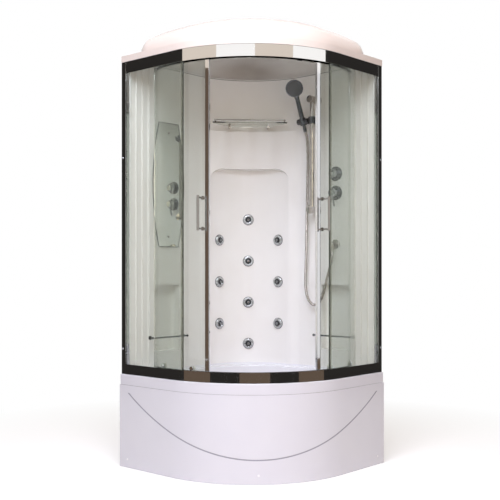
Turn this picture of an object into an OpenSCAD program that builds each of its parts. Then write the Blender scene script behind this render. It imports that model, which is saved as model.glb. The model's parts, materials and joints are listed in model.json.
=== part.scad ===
// Corner shower cabin with massage jets, sliding doors, a deep tray and a domed roof.
// Millimetres, +Z up. The origin is on the floor under the middle of the cabin's outline.
// The room's corner is behind it, on +Y, and the curved front faces -Y.

/* [Cabin] */
// Length of each wall side of the square that the cabin stands in
side = 900; // [860:10:1000]
// Straight length at each wall end, before the front starts to curve
straight = 350; // [330:5:380]
// Height of the tray's rim above the floor
rim_z = 440; // [380:5:500]
// Height from the tray's rim to the underside of the roof
enclosure_h = 1486; // [1440:2:1600]
// Thickness of the moulded acrylic shells
shell_t = 5; // [4:0.5:6]

/* [Tray] */
// Height of the tray's outer lip
lip_h = 49; // [40:1:60]
// How far the lip stands back from the apron's face
lip_inset = 4; // [3:0.5:6]
// Width of the rim along the curved front
front_rim_w = 92; // [90:1:110]
// Width of the rim along the walls
rear_rim_w = 110; // [100:1:130]
// Plan radius of the basin at the room's corner
basin_rear_r = 370; // [350:5:390]
// Plan radius of the basin at the two wall ends
basin_end_r = 100; // [90:5:120]
// Height of the basin's floor
basin_floor_z = 140; // [130:1:160]
// How far the basin's walls lean in from rim to floor
basin_lean = 60; // [40:2:80]
// Height of the raised seat that the wall panels stand on
seat_h = 10; // [8:1:14]
// Diameter of the drain hole
drain_d = 86; // [80:1:95]
// Diameter of the drain's outlet pipe
outlet_d = 40; // [32:1:50]

/* [Base frame] */
// Width of the square steel tubes under the tray
tube_w = 30; // [25:1:35]
// Wall of the square tubes
tube_t = 2; // [1.5:0.5:3]
// Distance between the two long tubes
long_tube_gap = 220; // [200:5:260]
// Diameter of the feet's threaded rods
rod_d = 12; // [10:1:14]
// Diameter of the feet's discs
foot_d = 50; // [40:1:60]

/* [Apron] */
// Thickness of the apron
apron_t = 4; // [3:0.5:5]
// Gap between the apron and the floor
apron_gap = 2; // [1:0.5:4]
// Radius of the moulded arc on the apron
groove_r = 830; // [800:5:860]
// Height of the lowest point of that arc
groove_z = 108; // [95:1:120]
// Width of the moulded groove
groove_w = 6; // [4:0.5:8]
// Depth of the moulded groove
groove_d = 1.5; // [1:0.25:2]
// Height of the three screws that hold the apron
apron_screw_z = 42; // [35:1:50]

/* [Walls] */
// Distance from the room's wall to the panels' inner face
wall_gap = 68; // [64:1:76]
// Plan radius of the walls' inner corner
corner_r = 370; // [360:2:380]
// Distance from the room's corner to each seam, along the wall
seam_at = 445; // [440:1:455]
// Width of the flanges behind the panels
flange_w = 35; // [30:1:36]
// Height of the ledge on top of the column
ledge_z = 1653; // [1600:1:1680]
// Plan radius of the column's front
column_r = 560; // [550:2:590]
// Distance from the room's corner to the column's front
column_at = 290; // [285:1:300]
// Plan radius of the hollow back rest
rest_r = 250; // [245:1:260]
// Distance from the room's corner to the deepest line of the back rest
rest_at = 225; // [220:1:230]
// Height of the back rest's rounded top
rest_top_z = 1460; // [1420:2:1500]
// Rounding of the back rest's top corners
rest_top_r = 70; // [50:2:90]
// Distance from the room's corner to the middle of each niche
niche_at = 658; // [650:1:665]
// Width of the niches
niche_w = 164; // [140:2:170]
// Height of the niches' shelf
niche_z = 540; // [520:2:560]
// Height of the opening of the niches
niche_h = 322; // [280:2:340]
// Depth of the niches
niche_d = 45; // [35:1:48]
// Plan radius of the niches' corners
niche_r = 20; // [15:1:30]
// Distance from the room's corner to the first of the moulded steps near the front
step_at = 770; // [760:1:775]
// Length of each moulded step
step_l = 30; // [26:1:32]
// Height of each moulded step
step_d = 11; // [8:1:11]

/* [Frame and glass] */
// How far the metal frame stands back from the apron's face
frame_inset = 12; // [8:1:16]
// Depth of the rails, front to back
rail_d = 44; // [42:1:46]
// Thickness of the rails' visible face
rail_t = 2.5; // [2:0.5:3]
// Height of the bottom rail's face
bottom_rail_h = 48; // [44:1:52]
// Height of the top rail's face
top_rail_h = 55; // [52:1:60]
// Width of the upright profiles at the walls
profile_w = 30; // [26:1:32]
// Thickness of the glass
glass_t = 6; // [5:0.5:6]
// Angle from the middle of the front to each fixed pane's free edge
fixed_a = 38.5; // [37.5:0.5:40]
// Width of the seals on those edges
seal_w = 10; // [8:1:12]

/* [Doors] */
// Angle that each door spans on its track
door_a = 40; // [39:0.5:41]
// Angle from the middle to the left door's leading edge, as it stands
left_open_a = 24.3; // [10:0.1:32]
// Angle from the middle to the right door's leading edge, as it stands
right_open_a = 31.2; // [10:0.1:32]
// Width of the upright profile on each door's leading edge
edge_w = 20; // [16:1:22]
// Thickness of that profile
edge_t = 14; // [12:1:15]
// Angle from a door's leading edge to its handle
handle_a = 3.6; // [3.4:0.1:3.8]
// Height of the handles' middle
handle_z = 1188; // [1100:2:1250]
// Length of the handles' bars
handle_l = 155; // [120:1:200]
// Distance between a handle's two posts
handle_pitch = 137; // [100:1:140]
// Diameter of the handles' bars
handle_d = 12; // [10:0.5:14]
// Distance from the door to the middle of the handle's bar
handle_reach = 45; // [40:1:50]
// Angles from a door's leading edge to its two pairs of rollers
front_roller_a = 10; // [8:0.5:12]
// The same for the rear pair
rear_roller_a = 30.5; // [28:0.5:31]
// Outer diameter of the rollers' wheels
wheel_d = 23; // [21:0.5:24]
// Diameter at the bottom of the wheels' groove
groove_floor_d = 19; // [18:0.5:19.5]
// Width of the wheels
wheel_w = 8; // [7:0.5:8]
// Diameter of the wheels' axles
axle_d = 6; // [5:0.5:7]

/* [Roof] */
// Height of the roof's brim
brim_h = 29; // [24:1:34]
// How far the brim stands back from the apron's face
brim_inset = 10; // [8:1:12]
// Distance from the cabin's front to the foot of the dome
dome_inset = 34; // [30:1:40]
// Distance from the room's walls to the foot of the dome
dome_back = 34; // [30:1:40]
// Plan radius of the dome at the wall ends
dome_end_r = 125; // [100:5:140]
// Height of the dome's rounded shoulder
shoulder_h = 83; // [70:1:95]
// Width of that shoulder
shoulder_w = 64; // [55:1:75]
// Further height of the gently curved crown
crown_h = 58; // [40:1:70]
// How much of the dome's width the crown's curve takes up
crown_part = 0.7; // [0.5:0.05:0.8]

/* [Fittings] */
// Diameter of the jets' rings
jet_d = 52; // [46:1:56]
// Height of the lowest jet
jet_z = 548; // [520:1:570]
// Distance between the jets of a column
jet_pitch = 217; // [205:1:220]
// Angle of the two side columns of jets on the back rest
jet_a = 38; // [35:1:40]
// Diameter of the jets' swivelling balls
ball_d = 26; // [22:1:28]
// Height of the hot and cold mixer
mixer_z = 1318; // [1300:1:1340]
// Height of the diverter above the mixer
diverter_up = 95; // [85:1:110]
// Distance from the room's corner to the controls
controls_at = 662; // [655:1:670]
// Diameter of the round plates behind the knobs
plate_d = 72; // [60:1:80]
// Diameter of the knobs
knob_d = 42; // [36:1:46]
// Height of the outlet elbow for the hose
elbow_z = 1063; // [1055:1:1075]
// Distance from the room's corner to the slide bar
bar_at = 552; // [548:1:560]
// Diameter of the slide bar
bar_d = 22; // [18:1:25]
// Distance from the wall to the middle of the slide bar
bar_off = 50; // [46:1:56]
// Height of the slide bar's lower bracket
bar_low_z = 1236; // [1220:1:1250]
// Height of the slide bar's upper bracket
bar_high_z = 1790; // [1780:1:1800]
// Height of the slider on the bar
slider_z = 1685; // [1660:1:1700]
// Distance from the bar to the hand shower's holder
holder_off = 58; // [54:1:62]
// Lean of the hand shower into the cabin
holder_tilt = 23; // [15:1:30]
// Diameter of the hand shower's head
head_d = 88; // [80:1:95]
// Diameter of the hose
hose_d = 14; // [12:1:16]
// Distance from the room's corner to the middle of the mirror
mirror_at = 648; // [640:1:655]
// Height of the mirror's lower edge
mirror_z = 1050; // [1030:1:1070]
// Height of the mirror
mirror_h = 607; // [560:1:620]
// Width of the mirror at its middle
mirror_w = 202; // [180:1:210]
// Width of the mirror at its ends
mirror_end_w = 124; // [100:1:140]
// Thickness of the mirror
mirror_t = 5; // [4:0.5:6]
// Height of the two short rails in front of the niches
towel_z = 608; // [590:1:630]
// Distance between a short rail's two posts
towel_l = 215; // [200:1:222]
// Thickness of the glass shelf
shelf_t = 6; // [5:0.5:8]
// Height of the glass shelf
shelf_z = 1683; // [1670:1:1700]
// Plan radius of the glass shelf
shelf_r = 198; // [180:1:205]
// Distance from the room's corner to the shelf's straight front edge
shelf_front = 392; // [370:1:400]

/* [Hidden] */

// Facets of long arcs, of round parts and of the children of a hull
fn_arc = 180;
fn_round = 48;
fn_hull = 32;
// How far a cut runs past the face that it cuts
past = 1;
// Rest gap between parts that move on each other, running clearance of pins, and face clearance
gap = 0.3;
run = 0.05;

// Plan of the cabin: the front's radius, its centre and the room's corner
arc_r = side - straight;
corner_y = (straight * sqrt(2) + arc_r) / 2;
arc_y = corner_y - straight * sqrt(2);
top_z = rim_z + enclosure_h;
// Middle of the dome, from both walls
crown_at = straight + 56;

// Radii of the frame's layers, measured from the centre of the front's arc
frame_r = arc_r - frame_inset;
fixed_r = frame_r - rail_t - gap;
web_t = 2.5;
web_r = fixed_r - glass_t - gap;
door_gap = 8.4;
door_r = web_r - web_t - door_gap;
track_r = door_r - glass_t - 8;
track_t = 2;
guide_r = track_r - 12;
guide_w = 14;
guide_a = 66.5;
plate_t = 3;
web_h = 26;

// Rollers: heights of the wheels' centres and of the track edges that they run on
low_wheel_z = rim_z + 56;
top_wheel_z = top_z - 32.2;
wheel_clear = groove_floor_d / 2 + gap;
low_track_z = low_wheel_z - wheel_clear;
top_track_z = top_wheel_z - wheel_clear;
door_low_z = rim_z + 15;
door_top_z = top_z - 15;
button_t = 4;
button_d = 20;
boss_d = 14;
groove_gap = 0.5;
edge_low_z = rim_z + bottom_rail_h + past;
edge_top_z = top_z - top_rail_h - past;

// Walls
panel_z = rim_z + seat_h;
panel_h = top_z - panel_z;
step_n = 3;
panel_end = step_at + step_n * step_l;
reach = side + 100;
round_c = wall_gap + corner_r;
column_c = (column_at + column_r) / sqrt(2);
rest_half = 205;
bolt_d = 6;
bolt_zs = [panel_z + 150, panel_z + panel_h / 2, top_z - 150];

// Tray and base frame
seat_end = side - frame_inset - rail_d - gap;
floor_under_z = basin_floor_z - shell_t;
tube_z = floor_under_z - tube_w;
mid_tube_y = -140;
mid_tube_l = side * sqrt(2) - 123;
rear_tube_y = 170;
front_tube_y = -440;
rear_tube_l = 560;
front_tube_l = 440;
long_tube_end_y = 330;
corner_tube_end_y = 440;
post_w = 25;
post_in = 32;
bracket_w = 40;
bracket_y = 57;
frame_screw_zs = [rim_z + 120, top_z - 456];
mirror_screw_zs = [mirror_z + 49, mirror_z + mirror_h - 49];
groove_half = 592;
groove_top = 36;
foot_places = [for (sx = [-1, 1]) each [[sx * (mid_tube_l / 2 - foot_d - 5), mid_tube_y],
    [sx * long_tube_gap / 2, long_tube_end_y - tube_w], [sx * (front_tube_l / 2 - tube_w - 10), front_tube_y]]];
foot_h = 10;
nut_d = 22;
nut_h = 8;

// Jets: angle on the back rest and height of each
jets = concat([for (i = [0:3]) [0, jet_z + i * jet_pitch]],
    [for (s = [-1, 1], i = [0:2]) [s * jet_a, jet_z + (i + 0.5) * jet_pitch]]);
rest_c = rest_at + rest_r;
jet_ring_r = jet_d / 2;
jet_back = sqrt(rest_r * rest_r - jet_ring_r * jet_ring_r);
jet_ring_t = 8;
jet_tube_d = 40;
jet_hole_d = jet_tube_d + 1;
jet_tail_d = 16;
jet_tail = 62;
ball_in = 2;

// Hand shower, in the frame of its holder
socket_h = 36;
socket_d = 24;
socket_taper = 2;
socket_wall = 4;
hose_nut_d = 18;
handle_tail = 52;
grip_l = 118;
grip_d = 22;
head_l = 178;
head_off = 24;
head_turn = 35;
head_drop = 33;
head_t = 18;
pin_d = 14;
pin_l = 18;
ring_d = 38;
ring_h = 36;

// Pipes
diverter_z = mixer_z + diverter_up;
feed_z = diverter_z + 10;
pipe_d = 16;
elbow_reach = 30;
elbow_drop = 28;
elbow_d = 20;
inlet_d = 20.95;
inlet_l = 15;
inlet_back = 60;
inlet_off = 34;
inlet_bend = 33;
trap_z = 62;
collar_l = 20;
outlet_l = 40;
valve_w = 34;
pipe_out = jet_back + jet_tail + pipe_d / 2;
pipe_low_z = jet_z - 30;
// Place of the right column's pipe from the two walls
feed_x = (rest_c - pipe_out * (sin(jet_a) + cos(jet_a))) / sqrt(2);
feed_y = feed_x + pipe_out * sin(jet_a) * sqrt(2);

// The hose hangs from the hand shower, turns in a loop and rises to the elbow.
// Points are [from the right wall, from the room's corner, height].
hose_lean = [sin(holder_tilt), 0, cos(holder_tilt)];
hose_top = [wall_gap + bar_off, bar_at - holder_off, slider_z] - (handle_tail + run) * hose_lean;
hose_end = [wall_gap + elbow_reach, controls_at, elbow_z - elbow_drop];
hose_route = concat(
    [hose_top, hose_top - hose_d * hose_lean, hose_top - 2.2 * hose_d * hose_lean],
    [[86, 498, 1570], [88, 502, 1520], [92, 505, 1460], [96, 506, 1390], [98, 506, 1310],
     [100, 505, 1230], [100, 504, 1150], [100, 502, 1070], [100, 500, 990], [100, 497, 920],
     [100, 496, 865], [100, 502, 818], [100, 518, 782], [100, 544, 761], [100, 573, 764],
     [100, 596, 789], [100, 612, 830], [99, 628, 885], [98, 645, 940], [98, 657, 980]],
    [hose_end - [0, 0, 2.2 * hose_d], hose_end - [0, 0, hose_d], hose_end]);
hose_last = len(hose_route) - 1;
hose_sides = 12;
hose_pitch = 12;

// Places

module in_corner() translate([0, corner_y, 0]) rotate([0, 0, -135]) children();

module in_arc(a = 0) translate([0, arc_y, 0]) rotate([0, 0, a]) children();

module both_sides() {
    children();
    mirror([1, 0, 0]) children();
}

// Local x runs along the wall to the front, y up and z into the cabin
module on_right(at, z) in_corner() translate([wall_gap, at, z]) rotate([90, 0, 90]) children();

module on_left(at, z) in_corner() translate([at, wall_gap, z]) rotate([90, 0, 180]) children();

// Local z runs outwards through the curved front at an angle and height
module out_at(a, z) in_arc(a) translate([0, 0, z]) rotate([90, 0, 0]) children();

// Local z runs outwards through the back rest, from its centre line
module at_jet(j) translate([0, corner_y - rest_c, j[1]]) rotate([0, 0, -j[0]])
    rotate([-90, 0, 0]) children();

// Plans

module quarter_2d(r) intersection() {
    circle(r = r, $fn = fn_arc);
    square(r + past);
}

// These plans are drawn from the room's corner, with one wall along x and the other along y

// The cabin's plan, set in from the front and back from the walls
module cabin_2d(inset, back) {
    translate([back, back]) square([straight - back, side - inset - back]);
    translate([straight, back]) square([side - inset - straight, straight - back]);
    translate([straight, straight]) quarter_2d(arc_r - inset);
}

module band_2d(inset, width, back = 0) difference() {
    cabin_2d(inset, back);
    cabin_2d(inset + width, back - past);
}

module band(inset, width, z, h, back = 0)
    in_corner() translate([0, 0, z]) linear_extrude(h) band_2d(inset, width, back);

// Part of a ring round the front's centre, between two angles
module arc_band(r, width, from, to, z, h)
    translate([0, arc_y, z]) rotate([0, 0, from - 90])
        rotate_extrude(angle = to - from, $fn = fn_arc) translate([r - width, 0]) square([width, h]);

// The room inside the walls, grown outwards by g
module room_2d(g) {
    translate([round_c, wall_gap - g]) square([reach - round_c, corner_r + g]);
    translate([wall_gap - g, round_c]) square([corner_r + g, reach - round_c]);
    translate([round_c, round_c]) square(reach - round_c);
    translate([round_c, round_c]) rotate(180) quarter_2d(corner_r + g);
}

// The moulded steps near one wall's front end, as the room that they add
module steps_2d(g) for (i = [1:step_n])
    translate([step_at + (i - 1) * step_l - g, wall_gap - i * step_d - g])
        square([reach, i * step_d + g + past]);

module full_room_2d(g) {
    room_2d(g);
    steps_2d(g);
    mirror([1, -1]) steps_2d(g);
}

// A rounded opening with its base at zero
module arch_2d(w, h, r) {
    translate([-w / 2, 0]) square([w, h - r]);
    translate([-w / 2 + r, h - r]) square([w - 2 * r, r]);
    translate([w / 2 - r, h - r]) quarter_2d(r);
    translate([-w / 2 + r, h - r]) rotate(90) quarter_2d(r);
}

// Tray

module basin_2d(e) {
    translate([rear_rim_w + basin_rear_r, rear_rim_w + basin_rear_r])
        rotate(180) quarter_2d(basin_rear_r - e, $fn = fn_hull);
    for (p = [[side - front_rim_w - basin_end_r, rear_rim_w + basin_end_r],
              [rear_rim_w + basin_end_r, side - front_rim_w - basin_end_r]])
        translate(p) circle(r = basin_end_r - e, $fn = fn_hull);
    translate([straight, straight]) intersection() {
        circle(r = arc_r - front_rim_w - e, $fn = 2 * fn_round);
        square(arc_r);
    }
}

// The basin's hollow, grown outwards by g: steep walls that turn into the floor
module basin(g, top) {
    turn_r = 45;
    wall_lean = basin_lean - turn_r;
    hull() {
        translate([0, 0, top]) linear_extrude(0.1) basin_2d(-g);
        for (t = [0, 30, 60, 90])
            translate([0, 0, basin_floor_z - g + turn_r * (1 - sin(t))])
                linear_extrude(0.1) basin_2d(wall_lean + turn_r * (1 - cos(t)) - g);
    }
}

module column_2d(g) difference() {
    square(round_c);
    translate(column_c * [1, 1]) circle(r = column_r + g, $fn = fn_arc);
}

module rest_2d(g) translate(rest_c / sqrt(2) * [1, 1]) circle(r = rest_r + g, $fn = fn_arc);

// The raised seat that the wall panels stand on
module seat_2d() difference() {
    intersection() {
        cabin_2d(lip_inset, 0);
        union() {
            difference() {
                union() {
                    square([seat_end, side / 2]);
                    square([side / 2, seat_end]);
                }
                full_room_2d(0);
            }
            column_2d(0);
        }
    }
    rest_2d(0);
}

module tray() color("white") in_corner() difference() {
    union() {
        translate([0, 0, rim_z - shell_t]) linear_extrude(shell_t) cabin_2d(lip_inset, 0);
        translate([0, 0, rim_z - lip_h]) linear_extrude(lip_h) difference() {
            cabin_2d(lip_inset, 0);
            cabin_2d(lip_inset + shell_t, shell_t);
        }
        translate([0, 0, rim_z]) linear_extrude(seat_h) seat_2d();
        basin(shell_t, rim_z - 0.2);
    }
    basin(0, rim_z + past);
    translate([straight, straight, basin_floor_z - 2 * shell_t])
        cylinder(d = drain_d, h = 4 * shell_t, $fn = fn_round);
}

// Base frame

module tube(l) difference() {
    cube([l, tube_w, tube_w], center = true);
    cube([l + 2 * past, tube_w - 2 * tube_t, tube_w - 2 * tube_t], center = true);
}

module frame_tubes() {
    z = tube_z + tube_w / 2;
    translate([0, mid_tube_y, z]) tube(mid_tube_l);
    translate([0, rear_tube_y, z]) tube(rear_tube_l);
    translate([0, front_tube_y, z]) tube(front_tube_l);
    for (s = [-1, 1]) translate([s * long_tube_gap / 2, (front_tube_y + long_tube_end_y) / 2, z])
        rotate([0, 0, 90]) tube(long_tube_end_y - front_tube_y);
    translate([0, (rear_tube_y + corner_tube_end_y) / 2, z]) rotate([0, 0, 90])
        tube(corner_tube_end_y - rear_tube_y);
}

module side_post() in_corner() {
    x0 = side - apron_t;
    translate([x0 - post_in - post_w / 2, bracket_y - post_w / 2, tube_z])
        cube([post_w, post_w, rim_z - shell_t - tube_z]);
    translate([x0 - shell_t, bracket_y - bracket_w / 2, apron_gap + past])
        cube([shell_t, bracket_w, tube_z + tube_w - apron_gap]);
    translate([x0 - post_in, bracket_y - post_w / 2, tube_z]) cube([post_in, post_w, tube_w]);
}

module tray_frame() color("dimgray") difference() {
    union() {
        frame_tubes();
        side_post();
        mirror([1, 0, 0]) side_post();
        in_corner() translate([50, 50, tube_z]) cube([post_w, post_w, rim_z - shell_t - tube_z]);
        arc_band(arc_r - apron_t, shell_t, -2.2, 2.2, apron_gap + past, tube_z + tube_w - apron_gap);
        translate([-post_w / 2, arc_y - arc_r + apron_t + 2, tube_z])
            cube([post_w, front_tube_y - arc_y + arc_r - apron_t - 2, tube_w]);
    }
    for (p = foot_places) translate([p[0], p[1], tube_z - past])
        cylinder(d = rod_d + 2 * gap, h = tube_w + 2 * past, $fn = fn_round);
    for (p = screw_places()) screw_at(p) translate([0, 0, -2 * shell_t])
        cylinder(d = 4 + 2 * gap, h = 2 * shell_t + past, $fn = fn_round);
}

module foot() {
    cylinder(d = foot_d, h = foot_h, $fn = fn_round);
    cylinder(d = rod_d, h = floor_under_z - past, $fn = fn_round);
    translate([0, 0, tube_z - nut_h]) cylinder(d = nut_d, h = nut_h, $fn = 6);
}

module tray_feet() color("silver") for (p = foot_places) translate([p[0], p[1], 0]) foot();

// The screws lie at the middle of the front and near both wall ends
function screw_places() = [0, -1, 1];

module screw_at(s) if (s == 0) out_at(0, apron_screw_z) translate([0, 0, arc_r - apron_t]) children();
    else mirror([s > 0 ? 1 : 0, 0, 0]) in_corner() translate([side - apron_t, bracket_y, apron_screw_z])
        rotate([0, 90, 0]) children();

module apron() color("ghostwhite") difference() {
    union() {
        band(0, apron_t, apron_gap, rim_z - lip_h - apron_gap);
        band(0, lip_inset + shell_t + 6, rim_z - lip_h - apron_t, apron_t);
    }
    intersection() {
        band(-past, groove_d + past, 0, rim_z);
        translate([0, 0, groove_z + groove_r]) rotate([90, 0, 0]) linear_extrude(side) difference() {
            circle(r = groove_r + groove_w / 2, $fn = 2 * fn_arc);
            circle(r = groove_r - groove_w / 2, $fn = 2 * fn_arc);
        }
        translate([-groove_half, -side, 0]) cube([2 * groove_half, side, rim_z - lip_h - groove_top]);
    }
    for (p = screw_places()) screw_at(p) translate([0, 0, -past])
        cylinder(d = 4 + 2 * gap, h = apron_t + 3 * past, $fn = fn_round);
}

module cap_screw(l, d = 10) {
    cylinder(d = d, h = 2.5, $fn = fn_round);
    if (l > 0) translate([0, 0, -l]) cylinder(d = 4, h = l, $fn = fn_round);
}

module cover_screws() color("gainsboro") {
    for (p = screw_places()) screw_at(p) translate([0, 0, apron_t]) cap_screw(apron_t + shell_t);
    for (z = frame_screw_zs) both_sides() in_corner()
        translate([side - frame_inset, profile_w / 4, z]) rotate([0, 90, 0]) cap_screw(0, 8);
    for (z = mirror_screw_zs)
        on_left(mirror_at, z) translate([0, 0, mirror_t]) cap_screw(mirror_t + 4, 12);
}

module drain_waste() color("silver") translate([0, arc_y, 0]) difference() {
    union() {
        translate([0, 0, basin_floor_z]) cylinder(d = drain_d + 24, h = 2.5, $fn = fn_round);
        translate([0, 0, trap_z]) cylinder(d = drain_d - 2 * gap, h = basin_floor_z - trap_z + past,
            $fn = fn_round);
        translate([0, 0, trap_z + outlet_d / 2]) rotate([-90, 0, 0]) {
            cylinder(d = outlet_d + 5, h = drain_d / 2 + collar_l, $fn = fn_round);
            cylinder(d = outlet_d, h = drain_d / 2 + collar_l + outlet_l, $fn = fn_round);
        }
    }
    translate([0, 0, trap_z + 5]) cylinder(d = drain_d - 10, h = basin_floor_z, $fn = fn_round);
    translate([0, 0, trap_z + outlet_d / 2]) rotate([-90, 0, 0])
        cylinder(d = outlet_d - 5, h = drain_d + collar_l + outlet_l, $fn = fn_round);
}

module drain_strainer() color("gainsboro") translate([0, arc_y, basin_floor_z + 2.5 + gap]) {
    cylinder(d1 = drain_d + 16, d2 = drain_d + 4, h = 4, $fn = fn_round);
    translate([0, 0, -22]) difference() {
        cylinder(d = drain_d - 14, h = 23, $fn = fn_round);
        translate([0, 0, -past]) cylinder(d = drain_d - 20, h = 20, $fn = fn_round);
    }
}

// Walls

module rest(g) intersection() {
    translate([0, 0, panel_z - past]) linear_extrude(panel_h) rest_2d(g);
    translate([0, 0, panel_z - past]) rotate([0, 0, 135]) rotate([90, 0, 0])
        linear_extrude(side) arch_2d(2 * (rest_half + g), rest_top_z + g - panel_z + past, rest_top_r + g);
}

// The air in front of the back panel, grown backwards by g
module back_air(g) {
    difference() {
        translate([0, 0, panel_z - past]) linear_extrude(panel_h + 2 * past) room_2d(g);
        translate([0, 0, panel_z - 2 * past]) linear_extrude(ledge_z - g - panel_z + 2 * past) column_2d(g);
    }
    rest(g);
}

// An upright flange behind a seam, from a distance along the wall
module seam_flange(at) translate([at, wall_gap - flange_w, panel_z]) cube([shell_t, flange_w, panel_h]);

module bolt_holes() for (z = bolt_zs) in_corner()
    translate([seam_at - 2 * shell_t, wall_gap - shell_t - flange_w / 2, z]) rotate([0, 90, 0])
        cylinder(d = bolt_d + 2 * gap, h = 4 * shell_t, $fn = fn_round);

module back_panel() color("whitesmoke") difference() {
    in_corner() difference() {
        union() {
            intersection() {
                back_air(shell_t);
                translate([0, 0, panel_z]) linear_extrude(panel_h) square(seam_at);
            }
            for (z = [panel_z, top_z - shell_t]) translate([0, 0, z]) linear_extrude(shell_t) intersection() {
                room_2d(flange_w);
                square(seam_at);
            }
            seam_flange(seam_at - shell_t);
            mirror([1, -1, 0]) seam_flange(seam_at - shell_t);
        }
        back_air(0);
    }
    both_sides() bolt_holes();
    for (j = jets) at_jet(j) translate([0, 0, rest_r - 4 * shell_t])
        cylinder(d = jet_hole_d, h = 8 * shell_t, $fn = fn_round);
}

module niche(g) translate([niche_at, wall_gap - niche_d - g, niche_z - g]) linear_extrude(niche_h + 2 * g) {
    w = niche_w / 2 + g;
    d = niche_d + g + past;
    r = niche_r + g;
    translate([-w + r, 0]) square([2 * (w - r), d]);
    translate([-w, r]) square([2 * w, d - r]);
    translate([w - r, r]) rotate(270) quarter_2d(r);
    translate([-w + r, r]) rotate(180) quarter_2d(r);
}

// The air in front of the left side panel, grown backwards by g; the right one is its mirror image
module side_air(g) {
    translate([0, 0, panel_z - past]) linear_extrude(panel_h + 2 * past) full_room_2d(g);
    niche(g);
}

module side_panel() difference() {
    in_corner() difference() {
        union() {
            intersection() {
                side_air(shell_t);
                translate([seam_at, 0, panel_z]) cube([panel_end - seam_at, wall_gap, panel_h]);
            }
            for (z = [panel_z, top_z - shell_t]) translate([seam_at, wall_gap - flange_w, z])
                cube([step_at - seam_at, flange_w, shell_t]);
            seam_flange(seam_at);
        }
        side_air(0);
    }
    bolt_holes();
}

module wall_hole(d) translate([0, 0, -4 * shell_t]) cylinder(d = d, h = 8 * shell_t, $fn = fn_round);

module left_side_panel() color("whitesmoke") difference() {
    side_panel();
    for (z = mirror_screw_zs) on_left(mirror_at, z) wall_hole(4 + 2 * gap);
}

module right_side_panel() color("whitesmoke") difference() {
    mirror([1, 0, 0]) side_panel();
    on_right(controls_at, mixer_z) wall_hole(knob_d);
    on_right(controls_at, diverter_z) wall_hole(knob_d);
    on_right(controls_at, elbow_z) wall_hole(elbow_d + 2 * gap);
}

module panel_bolts() color("silver") both_sides() for (z = bolt_zs) in_corner()
    translate([seam_at, wall_gap - shell_t - flange_w / 2, z]) rotate([0, 90, 0]) {
        translate([0, 0, -shell_t - 4]) cylinder(d = 11, h = 4, $fn = fn_round);
        translate([0, 0, -shell_t - 1]) cylinder(d = bolt_d, h = 2 * shell_t + 9, $fn = fn_round);
        translate([0, 0, shell_t]) cylinder(d = 11, h = 5, $fn = 6);
    }

// Roof

module dome_2d(e) {
    b = dome_back + dome_end_r;
    f = side - dome_inset - dome_end_r;
    for (p = [[b, b], [f, b], [b, f]]) translate(p) circle(r = dome_end_r - e, $fn = fn_hull);
    translate([straight, straight]) intersection() {
        circle(r = arc_r - dome_inset - e, $fn = 2 * fn_round);
        square(arc_r);
    }
}

// The dome's outside, or its inside when it is set in by g: a rounded shoulder, then the crown
module dome(g, base) {
    z0 = top_z + brim_h - g;
    hull() {
        translate([0, 0, base]) linear_extrude(0.1) dome_2d(g);
        for (t = [18:18:90]) translate([0, 0, z0 + shoulder_h * sin(t)])
            linear_extrude(0.1) dome_2d(shoulder_w * (1 - cos(t)) + g);
        for (t = [30, 60, 90]) translate([crown_at, crown_at, z0 + shoulder_h + crown_h * sin(t)])
            linear_extrude(0.1) scale(1 - crown_part * (1 - cos(t))) translate(-crown_at * [1, 1])
                dome_2d(shoulder_w + g);
    }
}

module roof() color("linen") in_corner() difference() {
    union() {
        translate([0, 0, top_z]) linear_extrude(brim_h) cabin_2d(brim_inset, 0);
        dome(0, top_z + past);
    }
    dome(shell_t, top_z + shell_t);
    translate([0, 0, top_z - past]) linear_extrude(shell_t + 2 * past) intersection() {
        cabin_2d(front_rim_w, 0);
        room_2d(-gap);
    }
}

// Frame

module wall_profile() in_corner() translate([side - frame_inset - rail_d, 0, rim_z]) {
    slot = [straight + web_r, straight + frame_r - rail_t];
    x0 = side - frame_inset - rail_d;
    linear_extrude(enclosure_h) difference() {
        square([rail_d, profile_w]);
        translate([slot[0] - x0, profile_w / 2 - 3]) square([slot[1] - slot[0], profile_w]);
        translate([rail_t, rail_t]) square([slot[0] - x0 - 2 * rail_t, profile_w - 2 * rail_t]);
    }
}

module wall_profiles() color("silver") both_sides() wall_profile();

// What both rails share: the plate against tray or roof, the face, the pane's web and the guide's plate
module rail(z, up, face_h) {
    low = function(h) up ? z : z - h;
    band(frame_inset, rail_d, low(plate_t), plate_t, wall_gap + gap);
    band(frame_inset, rail_t, low(face_h), face_h, profile_w);
    band(arc_r - web_r, web_t, low(web_h), web_h, profile_w);
    arc_band(guide_r + guide_w, guide_w, -guide_a, guide_a, low(plate_t), plate_t);
}

module bottom_rail() color("gray") {
    rail(rim_z, true, bottom_rail_h);
    arc_band(track_r + track_t / 2, track_t, -guide_a, guide_a, rim_z, low_track_z - rim_z);
}

module top_rail() color("silver") {
    foot_z = top_z - top_rail_h;
    rail(top_z, false, top_rail_h);
    arc_band(guide_r + track_t, track_t, -guide_a, guide_a, foot_z, top_rail_h);
    arc_band(track_r + track_t / 2, track_r + track_t / 2 - guide_r, -guide_a, guide_a, foot_z, plate_t);
    arc_band(track_r + track_t / 2, track_t, -guide_a, guide_a, foot_z, top_track_z - foot_z);
}

// Fixed panes

// The left pane: flat from its profile, then curved up to its free edge
module fixed_glass() in_corner() translate([0, 0, rim_z + plate_t]) linear_extrude(enclosure_h - 2 * plate_t) {
    translate([straight + fixed_r - glass_t, profile_w / 2 - 2])
        square([glass_t, straight - profile_w / 2 + 2]);
    translate([straight, straight]) difference() {
        intersection() {
            quarter_2d(fixed_r);
            rotate(45 - fixed_a - 90) square(side);
        }
        circle(r = fixed_r - glass_t, $fn = fn_arc);
    }
}

module left_fixed_glass() color("lightcyan", 0.4) fixed_glass();

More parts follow.
